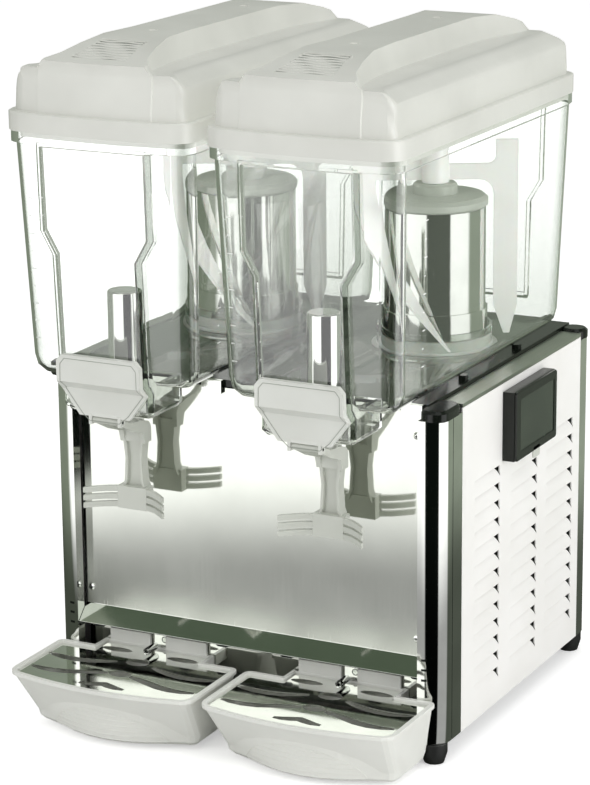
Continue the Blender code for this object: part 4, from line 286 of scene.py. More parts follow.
points, faces = [], []
for step in range(RING_PARTS):
    turn = 2 * math.pi * step / RING_PARTS
    x, y = RING_RADIUS * math.sin(turn), -RING_RADIUS * math.cos(turn)
    points += [(x, y, 0.0), (x, y, RING_HEIGHT)]
    after = (step + 1) % RING_PARTS
    faces.append((2 * step, 2 * after, 2 * after + 1, 2 * step + 1))
ring = stage_piece("screens", points, faces, screen_board())
ring.visible_camera = ring.visible_diffuse = ring.visible_shadow = False
print("ring of screens:", len(faces), "parts")

# %% [markdown]
# ## The lamps
# Three large soft lamps do the rest: a wide one overhead, a low one on the right that lights the
# side panel, and one at the front left for the lids and trays. The lamp on the right hangs low,
# because the leaves of the louvres lean back and then stay a shade darker than the sheet round them.

# %% The lamps
LAMPS = (
    ("overhead", (0.3, -0.5, 2.6), (0.0, 0.0, 0.4), 2.2, 2.2, 13.0),
    ("from_the_right", (2.5, -0.5, 0.70), (0.0, 0.0, 0.35), 1.2, 1.2, 26.0),
    ("from_the_front_left", (-1.2, -2.6, 1.5), (0.0, 0.0, 0.4), 1.2, 1.6, 16.0),
)


def soft_box(name, place, aim, width, height, watts):
    """One large soft lamp that points at a place on the machine."""
    lamp = bpy.data.lights.new(name, "AREA")
    lamp.shape, lamp.size, lamp.size_y, lamp.energy = "RECTANGLE", width, height, watts
    box = bpy.data.objects.new(name, lamp)
    box.location = place
    box.rotation_mode = "QUATERNION"
    box.rotation_quaternion = (Vector(aim) - Vector(place)).to_track_quat("-Z", "Y")
    bpy.context.scene.collection.objects.link(box)


for lamp in LAMPS:
    soft_box(*lamp)
bpy.context.scene.view_settings.view_transform = "Standard"
print("lamps:", len(LAMPS))

# %% [markdown]
# ## A surface that is not quite perfect
# A real moulded or rolled surface has a fine relief and is a little duller in some places than in
# others. One noise in metres gives both: it bends the normals by a height in millimetres, and it
# moves the roughness between two values. Stretching it along one direction turns it into the
# grain that rolling and brushing leave.

# %% The base of every finish
NOISE_LOW, NOISE_HIGH = 0.35, 0.65  # most values of a noise lie between these two


def start_finish(name, metallic, roughness, ior=None, **sockets):
    """A new material with constants on its shader. Returns the material, its nodes, shader and places."""
    finish = bpy.data.materials.new(name)
    finish.use_nodes = True
    tree = finish.node_tree
    shader = tree.nodes["Principled BSDF"]
    shader.inputs["Metallic"].default_value = metallic
    shader.inputs["Roughness"].default_value = roughness
    if ior:
        shader.inputs["IOR"].default_value = ior
    for key, value in sockets.items():
        shader.inputs[key.replace("_", " ")].default_value = value
    places = add_node(tree, PLACES).outputs["Object"]
    return finish, tree, shader, places


def mottle(tree, shader, places, dark, pale, size_mm, contrast=0.35):
    """Let the colour wander between two close tones over patches of size_mm."""
    patches = add_node(tree, NOISE, {"Vector": places, "Scale": 1.0 / (size_mm * MM), "Detail": 3.0})
    darkest, palest = 0.5 - contrast / 2, 0.5 + contrast / 2
    spread = add_node(tree, RANGE, {0: patches.outputs["Fac"], 1: darkest, 2: palest}).outputs[0]
    tones = add_node(tree, MIX, {0: spread, 6: light_of(dark), 7: light_of(pale)}, data_type="RGBA")
    tree.links.new(tones.outputs[2], shader.inputs["Base Color"])


def relief(tree, shader, places, size_mm, height_mm, dull, shiny, stretch=(1.0, 1.0, 1.0)):
    """Fine relief with grains of size_mm, and a roughness that moves between shiny and dull."""
    drawn = add_node(tree, "ShaderNodeMapping", {"Vector": places, "Scale": stretch}).outputs[0]
    grains = add_node(tree, NOISE, {"Vector": drawn, "Scale": 1.0 / (size_mm * MM), "Detail": 4.0})
    grains = grains.outputs["Fac"]
    bend = add_node(tree, "ShaderNodeBump", {"Height": grains, "Distance": height_mm * MM, "Strength": 1.0})
    tree.links.new(bend.outputs[0], shader.inputs["Normal"])
    wear = add_node(tree, RANGE, {0: grains, 1: NOISE_LOW, 2: NOISE_HIGH, 3: shiny, 4: dull})
    tree.links.new(wear.outputs[0], shader.inputs["Roughness"])
    return wear.outputs[0]


print("a grain of 1 mm is a noise of scale", round(1.0 / MM))

# %% [markdown]
# ## Stainless steel, polished and bright-annealed
# The posts, sleeves and drums are stainless sheet buffed on felt wheels until it mirrors the room.
# The front panel is the same steel as it leaves a bright-annealing furnace: it mirrors too, but
# through a thin haze. Both are metal with the default IOR. What tells them apart is roughness.

# %% Steels
LIP_TOP = 0.0995  # the panel's folded lip ends here
HAZE_FROM, HAZE_TO, HAZE = 0.10, 0.19, 0.20  # above it the sheet is duller, as wiping leaves it
FLAKE_MM, FIN_MM = 8.0, 2.5


def mirror_stainless():
    finish, tree, shader, places = start_finish("mirror_polished_stainless", 1.0, 0.06)
    mottle(tree, shader, places, "DDDFDA", "E7E9E4", 30.0)
    relief(tree, shader, places, 25.0, 0.006, 0.09, 0.045, (1.0, 1.0, 0.12))
    return finish


def bright_annealed_stainless():
    finish, tree, shader, places = start_finish("bright_annealed_stainless", 1.0, 0.06)
    mottle(tree, shader, places, "D2D5CD", "DADDD5", 60.0)
    grain = relief(tree, shader, places, 1.2, 0.0004, 0.075, 0.045, (1.0, 1.0, 0.02))
    height = add_node(tree, APART, {0: places}).outputs[2]
    wiped = add_node(tree, RANGE, {0: height, 1: HAZE_FROM, 2: HAZE_TO, 3: HAZE, 4: 0.0},
                     interpolation_type="SMOOTHSTEP")
    above_lip = add_node(tree, MATH, {0: height, 1: LIP_TOP}, operation="GREATER_THAN")
    duller = add_node(tree, MATH, {0: wiped.outputs[0], 1: above_lip.outputs[0], 2: grain},
                      operation="MULTIPLY_ADD")
    tree.links.new(duller.outputs[0], shader.inputs["Roughness"])
    return finish


def satin_stainless():
    """The same sheet rubbed with a nylon pad: grey, and only softly shiny."""
    finish, tree, shader, places = start_finish("satin_stainless", 1.0, 0.34)
    mottle(tree, shader, places, "B9BDB4", "C4C8BF", 60.0)
    relief(tree, shader, places, 1.2, 0.004, 0.4, 0.3, (1.0, 0.03, 1.0))
    return finish


def galvanised_steel():
    """Zinc-dipped sheet: its crystals are 8 mm flakes that catch the light one by one."""
    finish, tree, shader, places = start_finish("galvanised_sheet", 1.0, 0.42)
    flakes = add_node(tree, "ShaderNodeTexVoronoi", {"Vector": places, "Scale": 1.0 / (FLAKE_MM * MM)})
    grey = add_node(tree, MIX, {0: flakes.outputs["Color"], 6: light_of("7E827E"), 7: light_of("A2A5A1")},
                    data_type="RGBA")
    tree.links.new(grey.outputs[2], shader.inputs["Base Color"])
    return finish


def aluminium_fins():
    """A condenser seen from its face: thin fins, drawn 2.5 mm apart so that they show, with painted shade in
    the gaps between them.
    """
    finish, tree, shader, places = start_finish("aluminium_fin_block", 1.0, 0.45)
    lines = add_node(tree, "ShaderNodeTexWave", {"Vector": places, "Scale": 0.5 / (FIN_MM * MM) / math.pi},
                     bands_direction="Y")
    shade = add_node(tree, MIX, {0: lines.outputs["Fac"], 6: light_of("2E302E"), 7: light_of("B9BCB8")},
                     data_type="RGBA")
    tree.links.new(shade.outputs[2], shader.inputs["Base Color"])
    return finish


steel, front_steel, trim_steel = mirror_stainless(), bright_annealed_stainless(), satin_stainless()
zinc, fins = galvanised_steel(), aluminium_fins()
print("steels:", [m.name for m in (steel, front_steel, trim_steel, zinc, fins)])

# %% [markdown]
# ## White stove enamel
# The side and rear panels are punched sheet, sprayed with a polyester powder and baked. The melted
# powder levels out but keeps a faint waviness of a few millimetres, known as orange peel, and it
# has a soft gloss.

# %% Paint
def baked_powder(name, dark, pale, dull, shiny):
    finish, tree, shader, places = start_finish(name, 0.0, 0.35, 1.5, Coat_Weight=0.15, Coat_Roughness=0.2)
    mottle(tree, shader, places, dark, pale, 90.0)
    relief(tree, shader, places, 3.5, 0.012, dull, shiny)
    return finish


white_enamel = baked_powder("white_baked_powder", "F0EFEB", "F6F5F2", 0.42, 0.32)
black_enamel = baked_powder("black_compressor_enamel", "181A18", "222422", 0.45, 0.3)
print("paints:", white_enamel.name, black_enamel.name)

# %% [markdown]
# ## Moulded plastics
# Lids and trays are pale grey ABS, moulded against a mould that was lightly blasted, so they have
# an even satin face. Tap covers and levers are acetal, a little darker and slipperier. Deck, caps
# and control box are black ABS from a polished mould. The scale of each relief is the grain that
# the blasting leaves, drawn coarser than the real 0.2 mm so that it survives at this distance.

# %% Opaque plastics
def moulded(name, dark, pale, grain_mm, height_mm, dull, shiny, ior, **sockets):
    finish, tree, shader, places = start_finish(name, 0.0, dull, ior, **sockets)
    mottle(tree, shader, places, dark, pale, 70.0)
    relief(tree, shader, places, grain_mm, height_mm, dull, shiny)
    return finish


lid_abs = moulded("pale_grey_abs_satin", "CFD0C9", "D7D8D1", 0.9, 0.004, 0.40, 0.30, 1.54)
# The trays take a paler copy of the lid's ABS: the extra paleness is painted light.
tray_abs_painted_paler = moulded("pale_grey_abs_painted_paler", "DFE0DA", "E6E7E1", 0.9, 0.004, 0.40, 0.30, 1.54)
tap_abs = moulded("grey_abs_satin", "D0D2CB", "D8DAD4", 0.9, 0.003, 0.40, 0.30, 1.54)
tap_acetal = moulded("grey_acetal", "C3C6BD", "CCCFC6", 0.8, 0.003, 0.38, 0.28, 1.48)
white_acetal = moulded("white_acetal", "F3F4F0", "F9F9F6", 0.8, 0.002, 0.32, 0.24, 1.48,
                       Subsurface_Weight=0.1, Subsurface_Scale=0.004)
cap_nylon = moulded("grey_green_nylon", "A9AFA4", "B4B9AF", 1.0, 0.004, 0.36, 0.26, 1.53)
vent_shade = moulded("grey_vent_shadow", "6A7066", "757B71", 1.0, 0.002, 0.6, 0.5, 1.53)
# Painted shade for fine grooves, drawn as a dark line.
groove_shade = moulded("groove_painted_shade_line", "8A9086", "959B90", 1.0, 0.002, 0.6, 0.5, 1.53)
black_abs = moulded("black_abs_gloss", "10140F", "171B17", 1.4, 0.003, 0.24, 0.12, 1.54,
                    Specular_IOR_Level=0.3)
foot_rubber = moulded("black_foot_rubber", "141614", "1D1F1D", 0.9, 0.01, 0.65, 0.5, 1.52)
seal_silicone = moulded("pale_silicone", "DADCD7", "E4E6E1", 1.0, 0.003, 0.5, 0.4, 1.41,
                        Subsurface_Weight=0.2, Subsurface_Scale=0.003)
mark_white = moulded("frosted_mark", "EDEFEB", "F6F7F4", 0.8, 0.002, 0.6, 0.5, 1.585)
pad_print = moulded("white_pad_print", "E8E9E6", "F2F3F0", 0.6, 0.001, 0.5, 0.4, 1.5)
print("plastics ready:", lid_abs.name, tap_acetal.name, black_abs.name)

# %% [markdown]
# ## Clear and smoked polycarbonate
# The bowls are moulded from clear polycarbonate, which bends light by 1.585 and has a faint grey-green
# body that shows only where one looks along a wall. Light that leaves a bowl has crossed four
# surfaces, so the tint of each is very weak. The moulding is thicker round its corners, where more
# of the tint shows. Towards the foot the tint grows as painted reflection, standing in for the darker
# grey-green that the lower walls mirror. The switch cover is the same plastic with smoke dye.

# %% Clear plastics
CORNER_TINT, SIDE_TINT, FOOT_PAINTED_REFLECTION = 0.6, 0.03, 0.20
FOOT_LOW, FOOT_HIGH = 0.33, 0.50  # heights between which the foot's tint fades out


def clear_polycarbonate():
    finish, tree, shader, places = start_finish("clear_polycarbonate", 0.0, 0.02, 1.585,
                                                 Transmission_Weight=1.0)
    relief(tree, shader, places, 45.0, 0.02, 0.02, 0.005)
    x, y = add_node(tree, APART, {0: add_node(tree, PLACES).outputs["Normal"]}).outputs[:2]
    across = add_node(tree, MATH, {0: x, 1: x}, operation="MULTIPLY").outputs[0]
    along = add_node(tree, MATH, {0: y, 1: y}, operation="MULTIPLY").outputs[0]
    corner = add_node(tree, MATH, {0: across, 1: along}, operation="MULTIPLY").outputs[0]
    thick = add_node(tree, RANGE, {0: corner, 1: 0.0, 2: 0.25, 3: 0.0, 4: CORNER_TINT}).outputs[0]
    height = add_node(tree, APART, {0: places}).outputs[2]
    # Painted reflection: the colour darkens towards the foot.
    foot = add_node(tree, RANGE, {0: height, 1: FOOT_LOW, 2: FOOT_HIGH, 3: FOOT_PAINTED_REFLECTION, 4: 0.0},
                    interpolation_type="SMOOTHSTEP").outputs[0]
    side = add_node(tree, MATH, {0: across, 1: SIDE_TINT, 2: foot}, operation="MULTIPLY_ADD").outputs[0]
    total = add_node(tree, MATH, {0: thick, 1: side}, operation="ADD", use_clamp=True).outputs[0]
    tint = add_node(tree, MIX, {0: total, 6: light_of("FDFEFD"), 7: light_of("96A193")}, data_type="RGBA")
    tree.links.new(tint.outputs[2], shader.inputs["Base Color"])
    return finish


def smoked_polycarbonate():
    finish, tree, shader, places = start_finish("smoked_polycarbonate", 0.0, 0.1, 1.585,
                                                 Transmission_Weight=0.55)
    mottle(tree, shader, places, "3A443A", "465044", 40.0)
    relief(tree, shader, places, 0.8, 0.002, 0.2, 0.1)
    return finish


clear_bowl, smoked_cover = clear_polycarbonate(), smoked_polycarbonate()
print("clear plastics:", clear_bowl.name, smoked_cover.name)

# %% [markdown]
# ## Rounded edges and smooth curves
# Every real edge is round by a few tenths of a millimetre, and the bright line along it is what makes
# a render look solid. The solids keep their own vertices. A chain of modifiers welds the doubled
# corners, merges the triangles of each flat, rounds the sharp edges and lets the light run smoothly
# over curves, while edges sharper than an angle stay crisp.

# %% The chain of modifiers
WELD_REACH, FLAT_DEGREES, EDGE_DEGREES = 0.002 * MM, 0.4, 35


def smooth_group(degrees):
    """Geometry nodes that shade faces smooth and keep edges sharper than the angle."""
    group = bpy.data.node_groups.new("soft_light_%d" % degrees, "GeometryNodeTree")
    for way in ("INPUT", "OUTPUT"):
        group.interface.new_socket("Geometry", in_out=way, socket_type="NodeSocketGeometry")
    shape = add_node(group, "NodeGroupInput").outputs[0]
    plain = add_node(group, "GeometryNodeRemoveAttribute", {"Geometry": shape, "Name": "custom_normal"})
    every = {"Geometry": plain.outputs[0], "Shade Smooth": True}
    soft = add_node(group, "GeometryNodeSetShadeSmooth", every, domain="FACE")
    angle = add_node(group, "GeometryNodeInputMeshEdgeAngle").outputs[0]
    limit = math.radians(degrees)
    sharp = add_node(group, "FunctionNodeCompare", {0: angle, 1: limit}, operation="GREATER_THAN")
    crisp = {"Geometry": soft.outputs[0], "Selection": sharp.outputs[0], "Shade Smooth": False}
    keep = add_node(group, "GeometryNodeSetShadeSmooth", crisp, domain="EDGE")
    add_node(group, "NodeGroupOutput", {0: keep.outputs[0]})
    return group


SMOOTH, CRISP = smooth_group(32), smooth_group(14)


def dress(name, finish, edge_mm=0.4, steps=2, light=SMOOTH):
    """Give one solid its finish, rounded edges and smooth curves."""
    part = solid[name]
    for slot in part.material_slots:
        slot.material = finish
    weld = part.modifiers.new("weld", "WELD")
    weld.merge_threshold = WELD_REACH
    flat = part.modifiers.new("flats", "DECIMATE")
    flat.decimate_type, flat.angle_limit = "DISSOLVE", math.radians(FLAT_DEGREES)
    if edge_mm:
        edge = part.modifiers.new("edges", "BEVEL")
        edge.width, edge.segments, edge.limit_method = edge_mm * MM, steps, "ANGLE"
        edge.angle_limit, edge.use_clamp_overlap = math.radians(EDGE_DEGREES), True
    soft = part.modifiers.new("soft_light", "NODES")
    soft.node_group = light
    weigh = part.modifiers.new("flat_light", "WEIGHTED_NORMAL")
    weigh.keep_sharp = True


print("ways to shade curves:", [group.name for group in (SMOOTH, CRISP)])

# %% [markdown]
# ## Dressing the solid parts
# The table gives each kind of part its finish and the width of its rounded edges in millimetres.
# Thin punched sheet keeps square edges. The bowls and lids throw no shadow of their own, because a
# clear wall and a thin pale lid let daylight into the bowls. A drum mirrors the room, and not the
# clear wall before it, which would only add a faint second image.

# %% The table of finishes
FINISHES = {
    "base_pan": (zinc, 0.2), "front_panel": (front_steel, 0.3), "rear_panel": (white_enamel, 0),
    "side_panel": (white_enamel, 0), "corner_post": (steel, 0.2), "foot": (foot_rubber, 0.4),
    "deck_trim": (trim_steel, 0.2), "deck": (black_abs, 0.3), "bowl_latch": (steel, 0.3),
    "bowl_seal": (seal_silicone, 0.3), "bowl": (clear_bowl, 0.3), "lid": (lid_abs, 0.4),
    "evaporator_cap": (cap_nylon, 0.4), "evaporator": (steel, 0.2), "drive_magnet": (zinc, 0.3),
    "paddle": (white_acetal, 0.4), "mixer_motor": (zinc, 0.3), "compressor": (black_enamel, 0.5),
    "condenser_fan": (black_abs, 0.2), "condenser": (fins, 0), "fan_motor": (zinc, 0.3),
    "tap_cover": (tap_abs, 0.5), "lever_pin": (steel, 0.2), "lever": (tap_acetal, 0.4),
    "valve_sleeve": (steel, 0.3), "valve_piston": (white_acetal, 0.3), "drip_tray": (tray_abs_painted_paler, 0.3),
    "tray_grid": (steel, 0.15), "tray_bracket": (front_steel, 0.2), "control_box": (black_abs, 0.5),
    "control_cover": (smoked_cover, 0.3), "rocker_switch": (black_abs, 0.4),
    "thermostat_knob": (black_abs, 0.4), "cable_gland": (black_abs, 0.4),
}
for name in solid:
    kind = max((k for k in FINISHES if name.startswith(k)), key=len)
    dress(name, *FINISHES[kind], light=CRISP if kind in ("drip_tray", "tap_cover") else SMOOTH)
for side in SIDES:
    solid["bowl_" + side].visible_shadow = False
    solid["bowl_" + side].visible_glossy = False
    solid["lid_" + side].visible_shadow = False
print("solids dressed:", len(solid))

# %% [markdown]
# ## Small pieces
# Each small piece is drawn in the same metres as the solids and joined to the body that carries it.
# Four helpers make most of them: a mesh of points and faces, a flat outline with a thickness, a thin
# round bead along a path, and a turned profile.

# %% Helpers for small pieces
def add_piece(name, points, faces, finish, body, slot, light=SMOOTH):
    """A mesh piece that rides on a body."""
    mesh = bpy.data.meshes.new(name)
    mesh.from_pydata(points, [], faces)
    shape = bmesh.new()
    shape.from_mesh(mesh)
    bmesh.ops.recalc_face_normals(shape, faces=shape.faces)
    shape.to_mesh(mesh)
    shape.free()
    mesh.materials.append(finish)
    piece = bpy.data.objects.new(name, mesh)
    bpy.context.scene.collection.objects.link(piece)
    soft = piece.modifiers.new("soft_light", "NODES")
    soft.node_group = light
    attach(piece, body)
    return piece


def plate_mesh(outline, depth):
    """Points and faces of a flat outline pushed along the vector depth."""
    depth = Vector(depth)
    count = len(outline)
    points = [Vector(p) for p in outline] + [Vector(p) + depth for p in outline]
    faces = [tuple(range(count)), tuple(range(2 * count - 1, count - 1, -1))]
    faces += [(i, (i + 1) % count, (i + 1) % count + count, i + count) for i in range(count)]
    return points, faces


def bead_mesh(path, radius, closed=False, sides=6):
    """Points and faces of a thin round bead along a path."""
    line = bpy.data.curves.new("bead", "CURVE")
    line.dimensions, line.bevel_depth = "3D", radius
    line.bevel_resolution, line.use_fill_caps = max(1, sides // 4), True
    run = line.splines.new("POLY")
    run.points.add(len(path) - 1)
    for point, place in zip(run.points, path):
        point.co = (*place, 1.0)
    run.use_cyclic_u = closed
    carrier = bpy.data.objects.new("bead", line)
    mesh = bpy.data.meshes.new_from_object(carrier)
    points = [v.co.copy() for v in mesh.vertices]
    faces = [tuple(f.vertices) for f in mesh.polygons]
    bpy.data.meshes.remove(mesh)
    bpy.data.objects.remove(carrier)
    bpy.data.curves.remove(line)
    return points, faces


def band(here, there, count):
    """Four-sided faces between two closed rows of points, from their first numbers."""
    return [(here + i, here + (i + 1) % count, there + (i + 1) % count, there + i) for i in range(count)]


def turned_mesh(profile, turns, place):
    """Points and faces of a closed (radius, rise) profile turned about an axis. The function place
    sets a point from its two offsets from the axis and its rise along it."""
    points, faces, count = [], [], len(profile)
    for step in range(turns):
        turn = 2 * math.pi * step / turns
        points += [place(r * math.cos(turn), r * math.sin(turn), rise) for r, rise in profile]
        faces += band(step * count, (step + 1) % turns * count, count)
    return points, faces


def joined(*meshes):
    """Several (points, faces) pairs as one."""
    points, faces = [], []
    for more, shapes in meshes:
        faces += [tuple(i + len(points) for i in face) for face in shapes]
        points += list(more)
    return points, faces


def rounded(a0, a1, b0, b1, radius, steps=5):
    """Corner-rounded rectangle as (a, b) pairs."""
    ring = []
    corners = ((a1 - radius, b0 + radius, -90), (a1 - radius, b1 - radius, 0),
               (a0 + radius, b1 - radius, 90), (a0 + radius, b0 + radius, 180))
    for a, b, start in corners:
        for step in range(steps + 1):
            turn = math.radians(start + 90 * step / steps)
            ring.append((a + radius * math.cos(turn), b + radius * math.sin(turn)))
    return ring


print("a bead of two points has", len(bead_mesh([(0, 0, 0), (0, 0, 1)], MM)[1]), "faces")

# %% [markdown]
# ## The switch cover
# Over the switches hangs a cover: a black frame with rounded corners, a smoked pane let into it,
# and a clear finger tab at its foot. It takes the place of the plain plate of the solid model and
# hangs on the same hinge, so its sizes come from that plate's box.

# %% Frame, pane and tab
low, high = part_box("control_cover")
BORDER_FRONT, BORDER_REAR, BORDER_FOOT = 10.0 * MM, 6.5 * MM, 8.0 * MM
FRAME_ROUND, PANE_ROUND, FRAME_EASE = 3.5 * MM, 1.5 * MM, 0.5 * MM
PANE_INSET, PANE_THICK = 0.7 * MM, 0.9 * MM
TAB_HALF, TAB_BELOW, TAB_ABOVE, TAB_ROUND, TAB_THICK = 8 * MM, 7 * MM, 4 * MM, 2 * MM, 1.2 * MM
outside = rounded(low.y, high.y, low.z, high.z, FRAME_ROUND)
inside = rounded(low.y + BORDER_FRONT, high.y - BORDER_REAR, low.z + BORDER_FOOT, high.z - BORDER_FOOT,
                 PANE_ROUND)
eased = rounded(low.y + FRAME_EASE, high.y - FRAME_EASE, low.z + FRAME_EASE, high.z - FRAME_EASE,
                FRAME_ROUND - FRAME_EASE)
rings = [(outside, low.x), (outside, high.x - FRAME_EASE), (eased, high.x), (inside, high.x), (inside, low.x)]
points = [(x, a, b) for outline, x in rings for a, b in outline]
count = len(outside)
faces = []
for row in range(len(rings)):
    faces += band(row * count, (row + 1) % len(rings) * count, count)
cover = add_piece("cover_frame", points, faces, black_abs, "control_cover", "black_plastic")
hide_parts("control_cover")
pane_back = high.x - PANE_INSET - PANE_THICK
pane = plate_mesh([(pane_back, a, b) for a, b in inside], (PANE_THICK, 0, 0))
add_piece("cover_pane", *pane, smoked_cover, "control_cover", "smoked_plastic")
middle = (low.y + high.y) / 2
tab = rounded(middle - TAB_HALF, middle + TAB_HALF, low.z - TAB_BELOW, low.z + TAB_ABOVE, TAB_ROUND)
tab = plate_mesh([(high.x - TAB_THICK, a, b) for a, b in tab], (TAB_THICK, 0, 0))
add_piece("cover_tab", *tab, tap_acetal, "control_cover", "tap_plastic")
print("pane:", round((high.y - low.y - BORDER_FRONT - BORDER_REAR) / MM, 1), "mm wide")

# %% [markdown]
# ## Finding a surface
# Marks, grooves and ribs lie on the solids, and most of those faces slope or curve. A helper sends a
# line towards a solid and gives the place where it lands, as a finger would find it.

# %% Looking for a surface
from mathutils.bvhtree import BVHTree

UNIT_MIDDLE = {side: (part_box("bowl_" + side)[0].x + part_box("bowl_" + side)[1].x) / 2 for side in SIDES}
BACKWARD, LEFTWARD, DOWNWARD = (0, 1, 0), (-1, 0, 0), (0, 0, -1)
surfaces = {}


def touch(node, start, way):
    """Where a line from start along way first meets a solid."""
    if node not in surfaces:
        mesh = solid[node].data
        faces = [tuple(face.vertices) for face in mesh.polygons]
        surfaces[node] = BVHTree.FromPolygons([v.co for v in mesh.vertices], faces)
    return surfaces[node].ray_cast(Vector(start), Vector(way))[0]


print("roof of a lid:", round(touch("lid_left", (UNIT_MIDDLE["left"], 0, 1), DOWNWARD).z / MM, 1), "mm up")

# %% [markdown]
# ## The lid's vent
# Each lid breathes through a trapezoid of slots near its front. A fine raised frame surrounds
# them, and bowed slats lie between the slots, which gives their wavy look. The roof is a plain
# slope there, so its height and slope place every point.

# %% Vent frames and slats
VENT_FRONT, VENT_REAR = -0.1932, -0.1473
VENT_HALF_FRONT, VENT_HALF_REAR = 0.0281, 0.0219
ROOF_EDGE, ROOF_HEIGHT, ROOF_SLOPE = -0.20615, 0.643, 0.2207
VENT_SLATS, SLAT_RADIUS, FRAME_RADIUS, WAVE = 8, 1.15 * MM, 0.45 * MM, 0.02
VENT_EDGE = [(-1.09, -0.05), (0.0, -0.05), (1.02, -0.05), (1.09, 0.02), (1.09, 0.5), (1.09, 1.05),
             (0.0, 1.05), (-1.09, 1.05)]


def on_roof(middle, across, back, lift_mm):
    """A point of the vent on a lid's roof: across from -1 to 1, back from 0 to 1."""
    half = VENT_HALF_FRONT + (VENT_HALF_REAR - VENT_HALF_FRONT) * back
    y = VENT_FRONT + (VENT_REAR - VENT_FRONT) * back
    return Vector((middle + across * half, y, ROOF_HEIGHT + ROOF_SLOPE * (y - ROOF_EDGE) + lift_mm * MM))


for side in SIDES:
    middle = UNIT_MIDDLE[side]
    frame_bead = bead_mesh([on_roof(middle, a, b, 0.05) for a, b in VENT_EDGE], FRAME_RADIUS, closed=True)
    # A grey sheet under the slats is painted shade: it keeps the slots dark.
    slot_shade_points = [on_roof(middle, a / 4 - 1, b / 4, 0.06) for b in range(5) for a in range(9)]
    meshes = [(9 * b + a, 9 * b + a + 1, 9 * b + a + 10, 9 * b + a + 9) for b in range(4) for a in range(8)]
    add_piece("vent_slot_shade_" + side, slot_shade_points, meshes, vent_shade, "lid_" + side, "lid_plastic")
    slats = []
    for slat in range(VENT_SLATS):
        back, phases = (slat + 0.5) / VENT_SLATS, [math.pi * (0.15 * i - 1.5) + slat for i in range(21)]
        wave = [on_roof(middle, 0.1 * i - 1, back + WAVE * math.sin(p), 0.1) for i, p in enumerate(phases)]
        slats.append(bead_mesh(wave, SLAT_RADIUS))
    add_piece("vent_frame_" + side, *frame_bead, lid_abs, "lid_" + side, "lid_plastic")
    add_piece("vent_slats_" + side, *joined(*slats), lid_abs, "lid_" + side, "lid_plastic")
print("vent slats on each lid:", VENT_SLATS)

# %% [markdown]
# ## Level marks on the bowls
# Short raised marks are moulded into the bowl's front and side, one for each measure of drink,
# with a longer one for every second. They are a quarter of a millimetre high, so only the light
# gives them away. The helper finds the wall, and each mark is sunk a little into it.

# %% Marks
MARK_PITCH, MARK_LOWEST, MARKS = 16.6 * MM, 0.3825, 9
MARK_SHORT, MARK_LONG, MARK_HALF, MARK_RAISED, MARK_DEPTH = 3.2 * MM, 5.6 * MM, 0.45 * MM, 0.25 * MM, 0.5 * MM
FRONT_OFFSET, SIDE_PLACE = -76 * MM, -0.1396
for side in SIDES:
    bowl, middle = "bowl_" + side, UNIT_MIDDLE[side]
    marks = []
    for number in range(MARKS):
        z = MARK_LOWEST + number * MARK_PITCH
        shape = rounded(0, MARK_SHORT if number % 2 else MARK_LONG, -MARK_HALF, MARK_HALF, 0.4 * MM, 2)
        spot = touch(bowl, (middle + FRONT_OFFSET, -1.0, z), BACKWARD)
        mark = [(spot.x + a, spot.y - MARK_RAISED, z + b) for a, b in shape]
        marks.append(plate_mesh(mark, (0, MARK_DEPTH, 0)))
        spot = touch(bowl, (middle + 0.1, SIDE_PLACE, z), LEFTWARD)
        mark = [(spot.x + MARK_RAISED, spot.y + a, z + b) for a, b in shape]
        marks.append(plate_mesh(mark, (-MARK_DEPTH, 0, 0)))
    add_piece("level_marks_" + side, *joined(*marks), mark_white, bowl, "clear_plastic")
print("marks on each bowl:", 2 * MARKS)

# %% [markdown]
# ## The seal's ring
# Round the foot of each drum a pale ring of silicone closes the gap between bowl and drum. Only its
# low collar is seen from outside, so that is what is drawn in place of the plain solid: a turned
# ring with a flat foot, a short wall and a rolled lip.

# %% Turned rings
SEAL_INSIDE, SEAL_RISE = 51.2 * MM, 15 * MM
for side in SIDES:
    low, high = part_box("bowl_seal_" + side)
    outer, foot, top = (high.x - low.x) / 2, low.z, low.z + SEAL_RISE
    profile = [(SEAL_INSIDE, foot), (outer, foot), (outer, foot + 2.5 * MM),
               (SEAL_INSIDE + 3.6 * MM, foot + 5 * MM), (SEAL_INSIDE + 2.6 * MM, top - 2 * MM),
               (SEAL_INSIDE + 1.8 * MM, top - 0.6 * MM), (SEAL_INSIDE + 0.8 * MM, top),
               (SEAL_INSIDE, top - 0.8 * MM)]
    x, y = (low.x + high.x) / 2, (low.y + high.y) / 2
    shape = turned_mesh(profile, 64, lambda a, b, rise: (x + a, y + b, rise))
    ring = add_piece("seal_ring_" + side, *shape, seal_silicone, "bowl_" + side, "seal_rubber")
    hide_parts("bowl_seal_" + side)
print("seal ring:", round(2 * outer / MM, 1), "mm across")

# %% [markdown]
# ## The line round each tap cover
# The face of a tap cover has a narrow groove a few millimetres inside its edge, where the two
# halves of the mould met. A groove that fine reads as a dark line of shade, so that shade is
# painted as a dark line, dropped onto the face from in front.

# %% Tap cover lines
from mathutils.geometry import convex_hull_2d

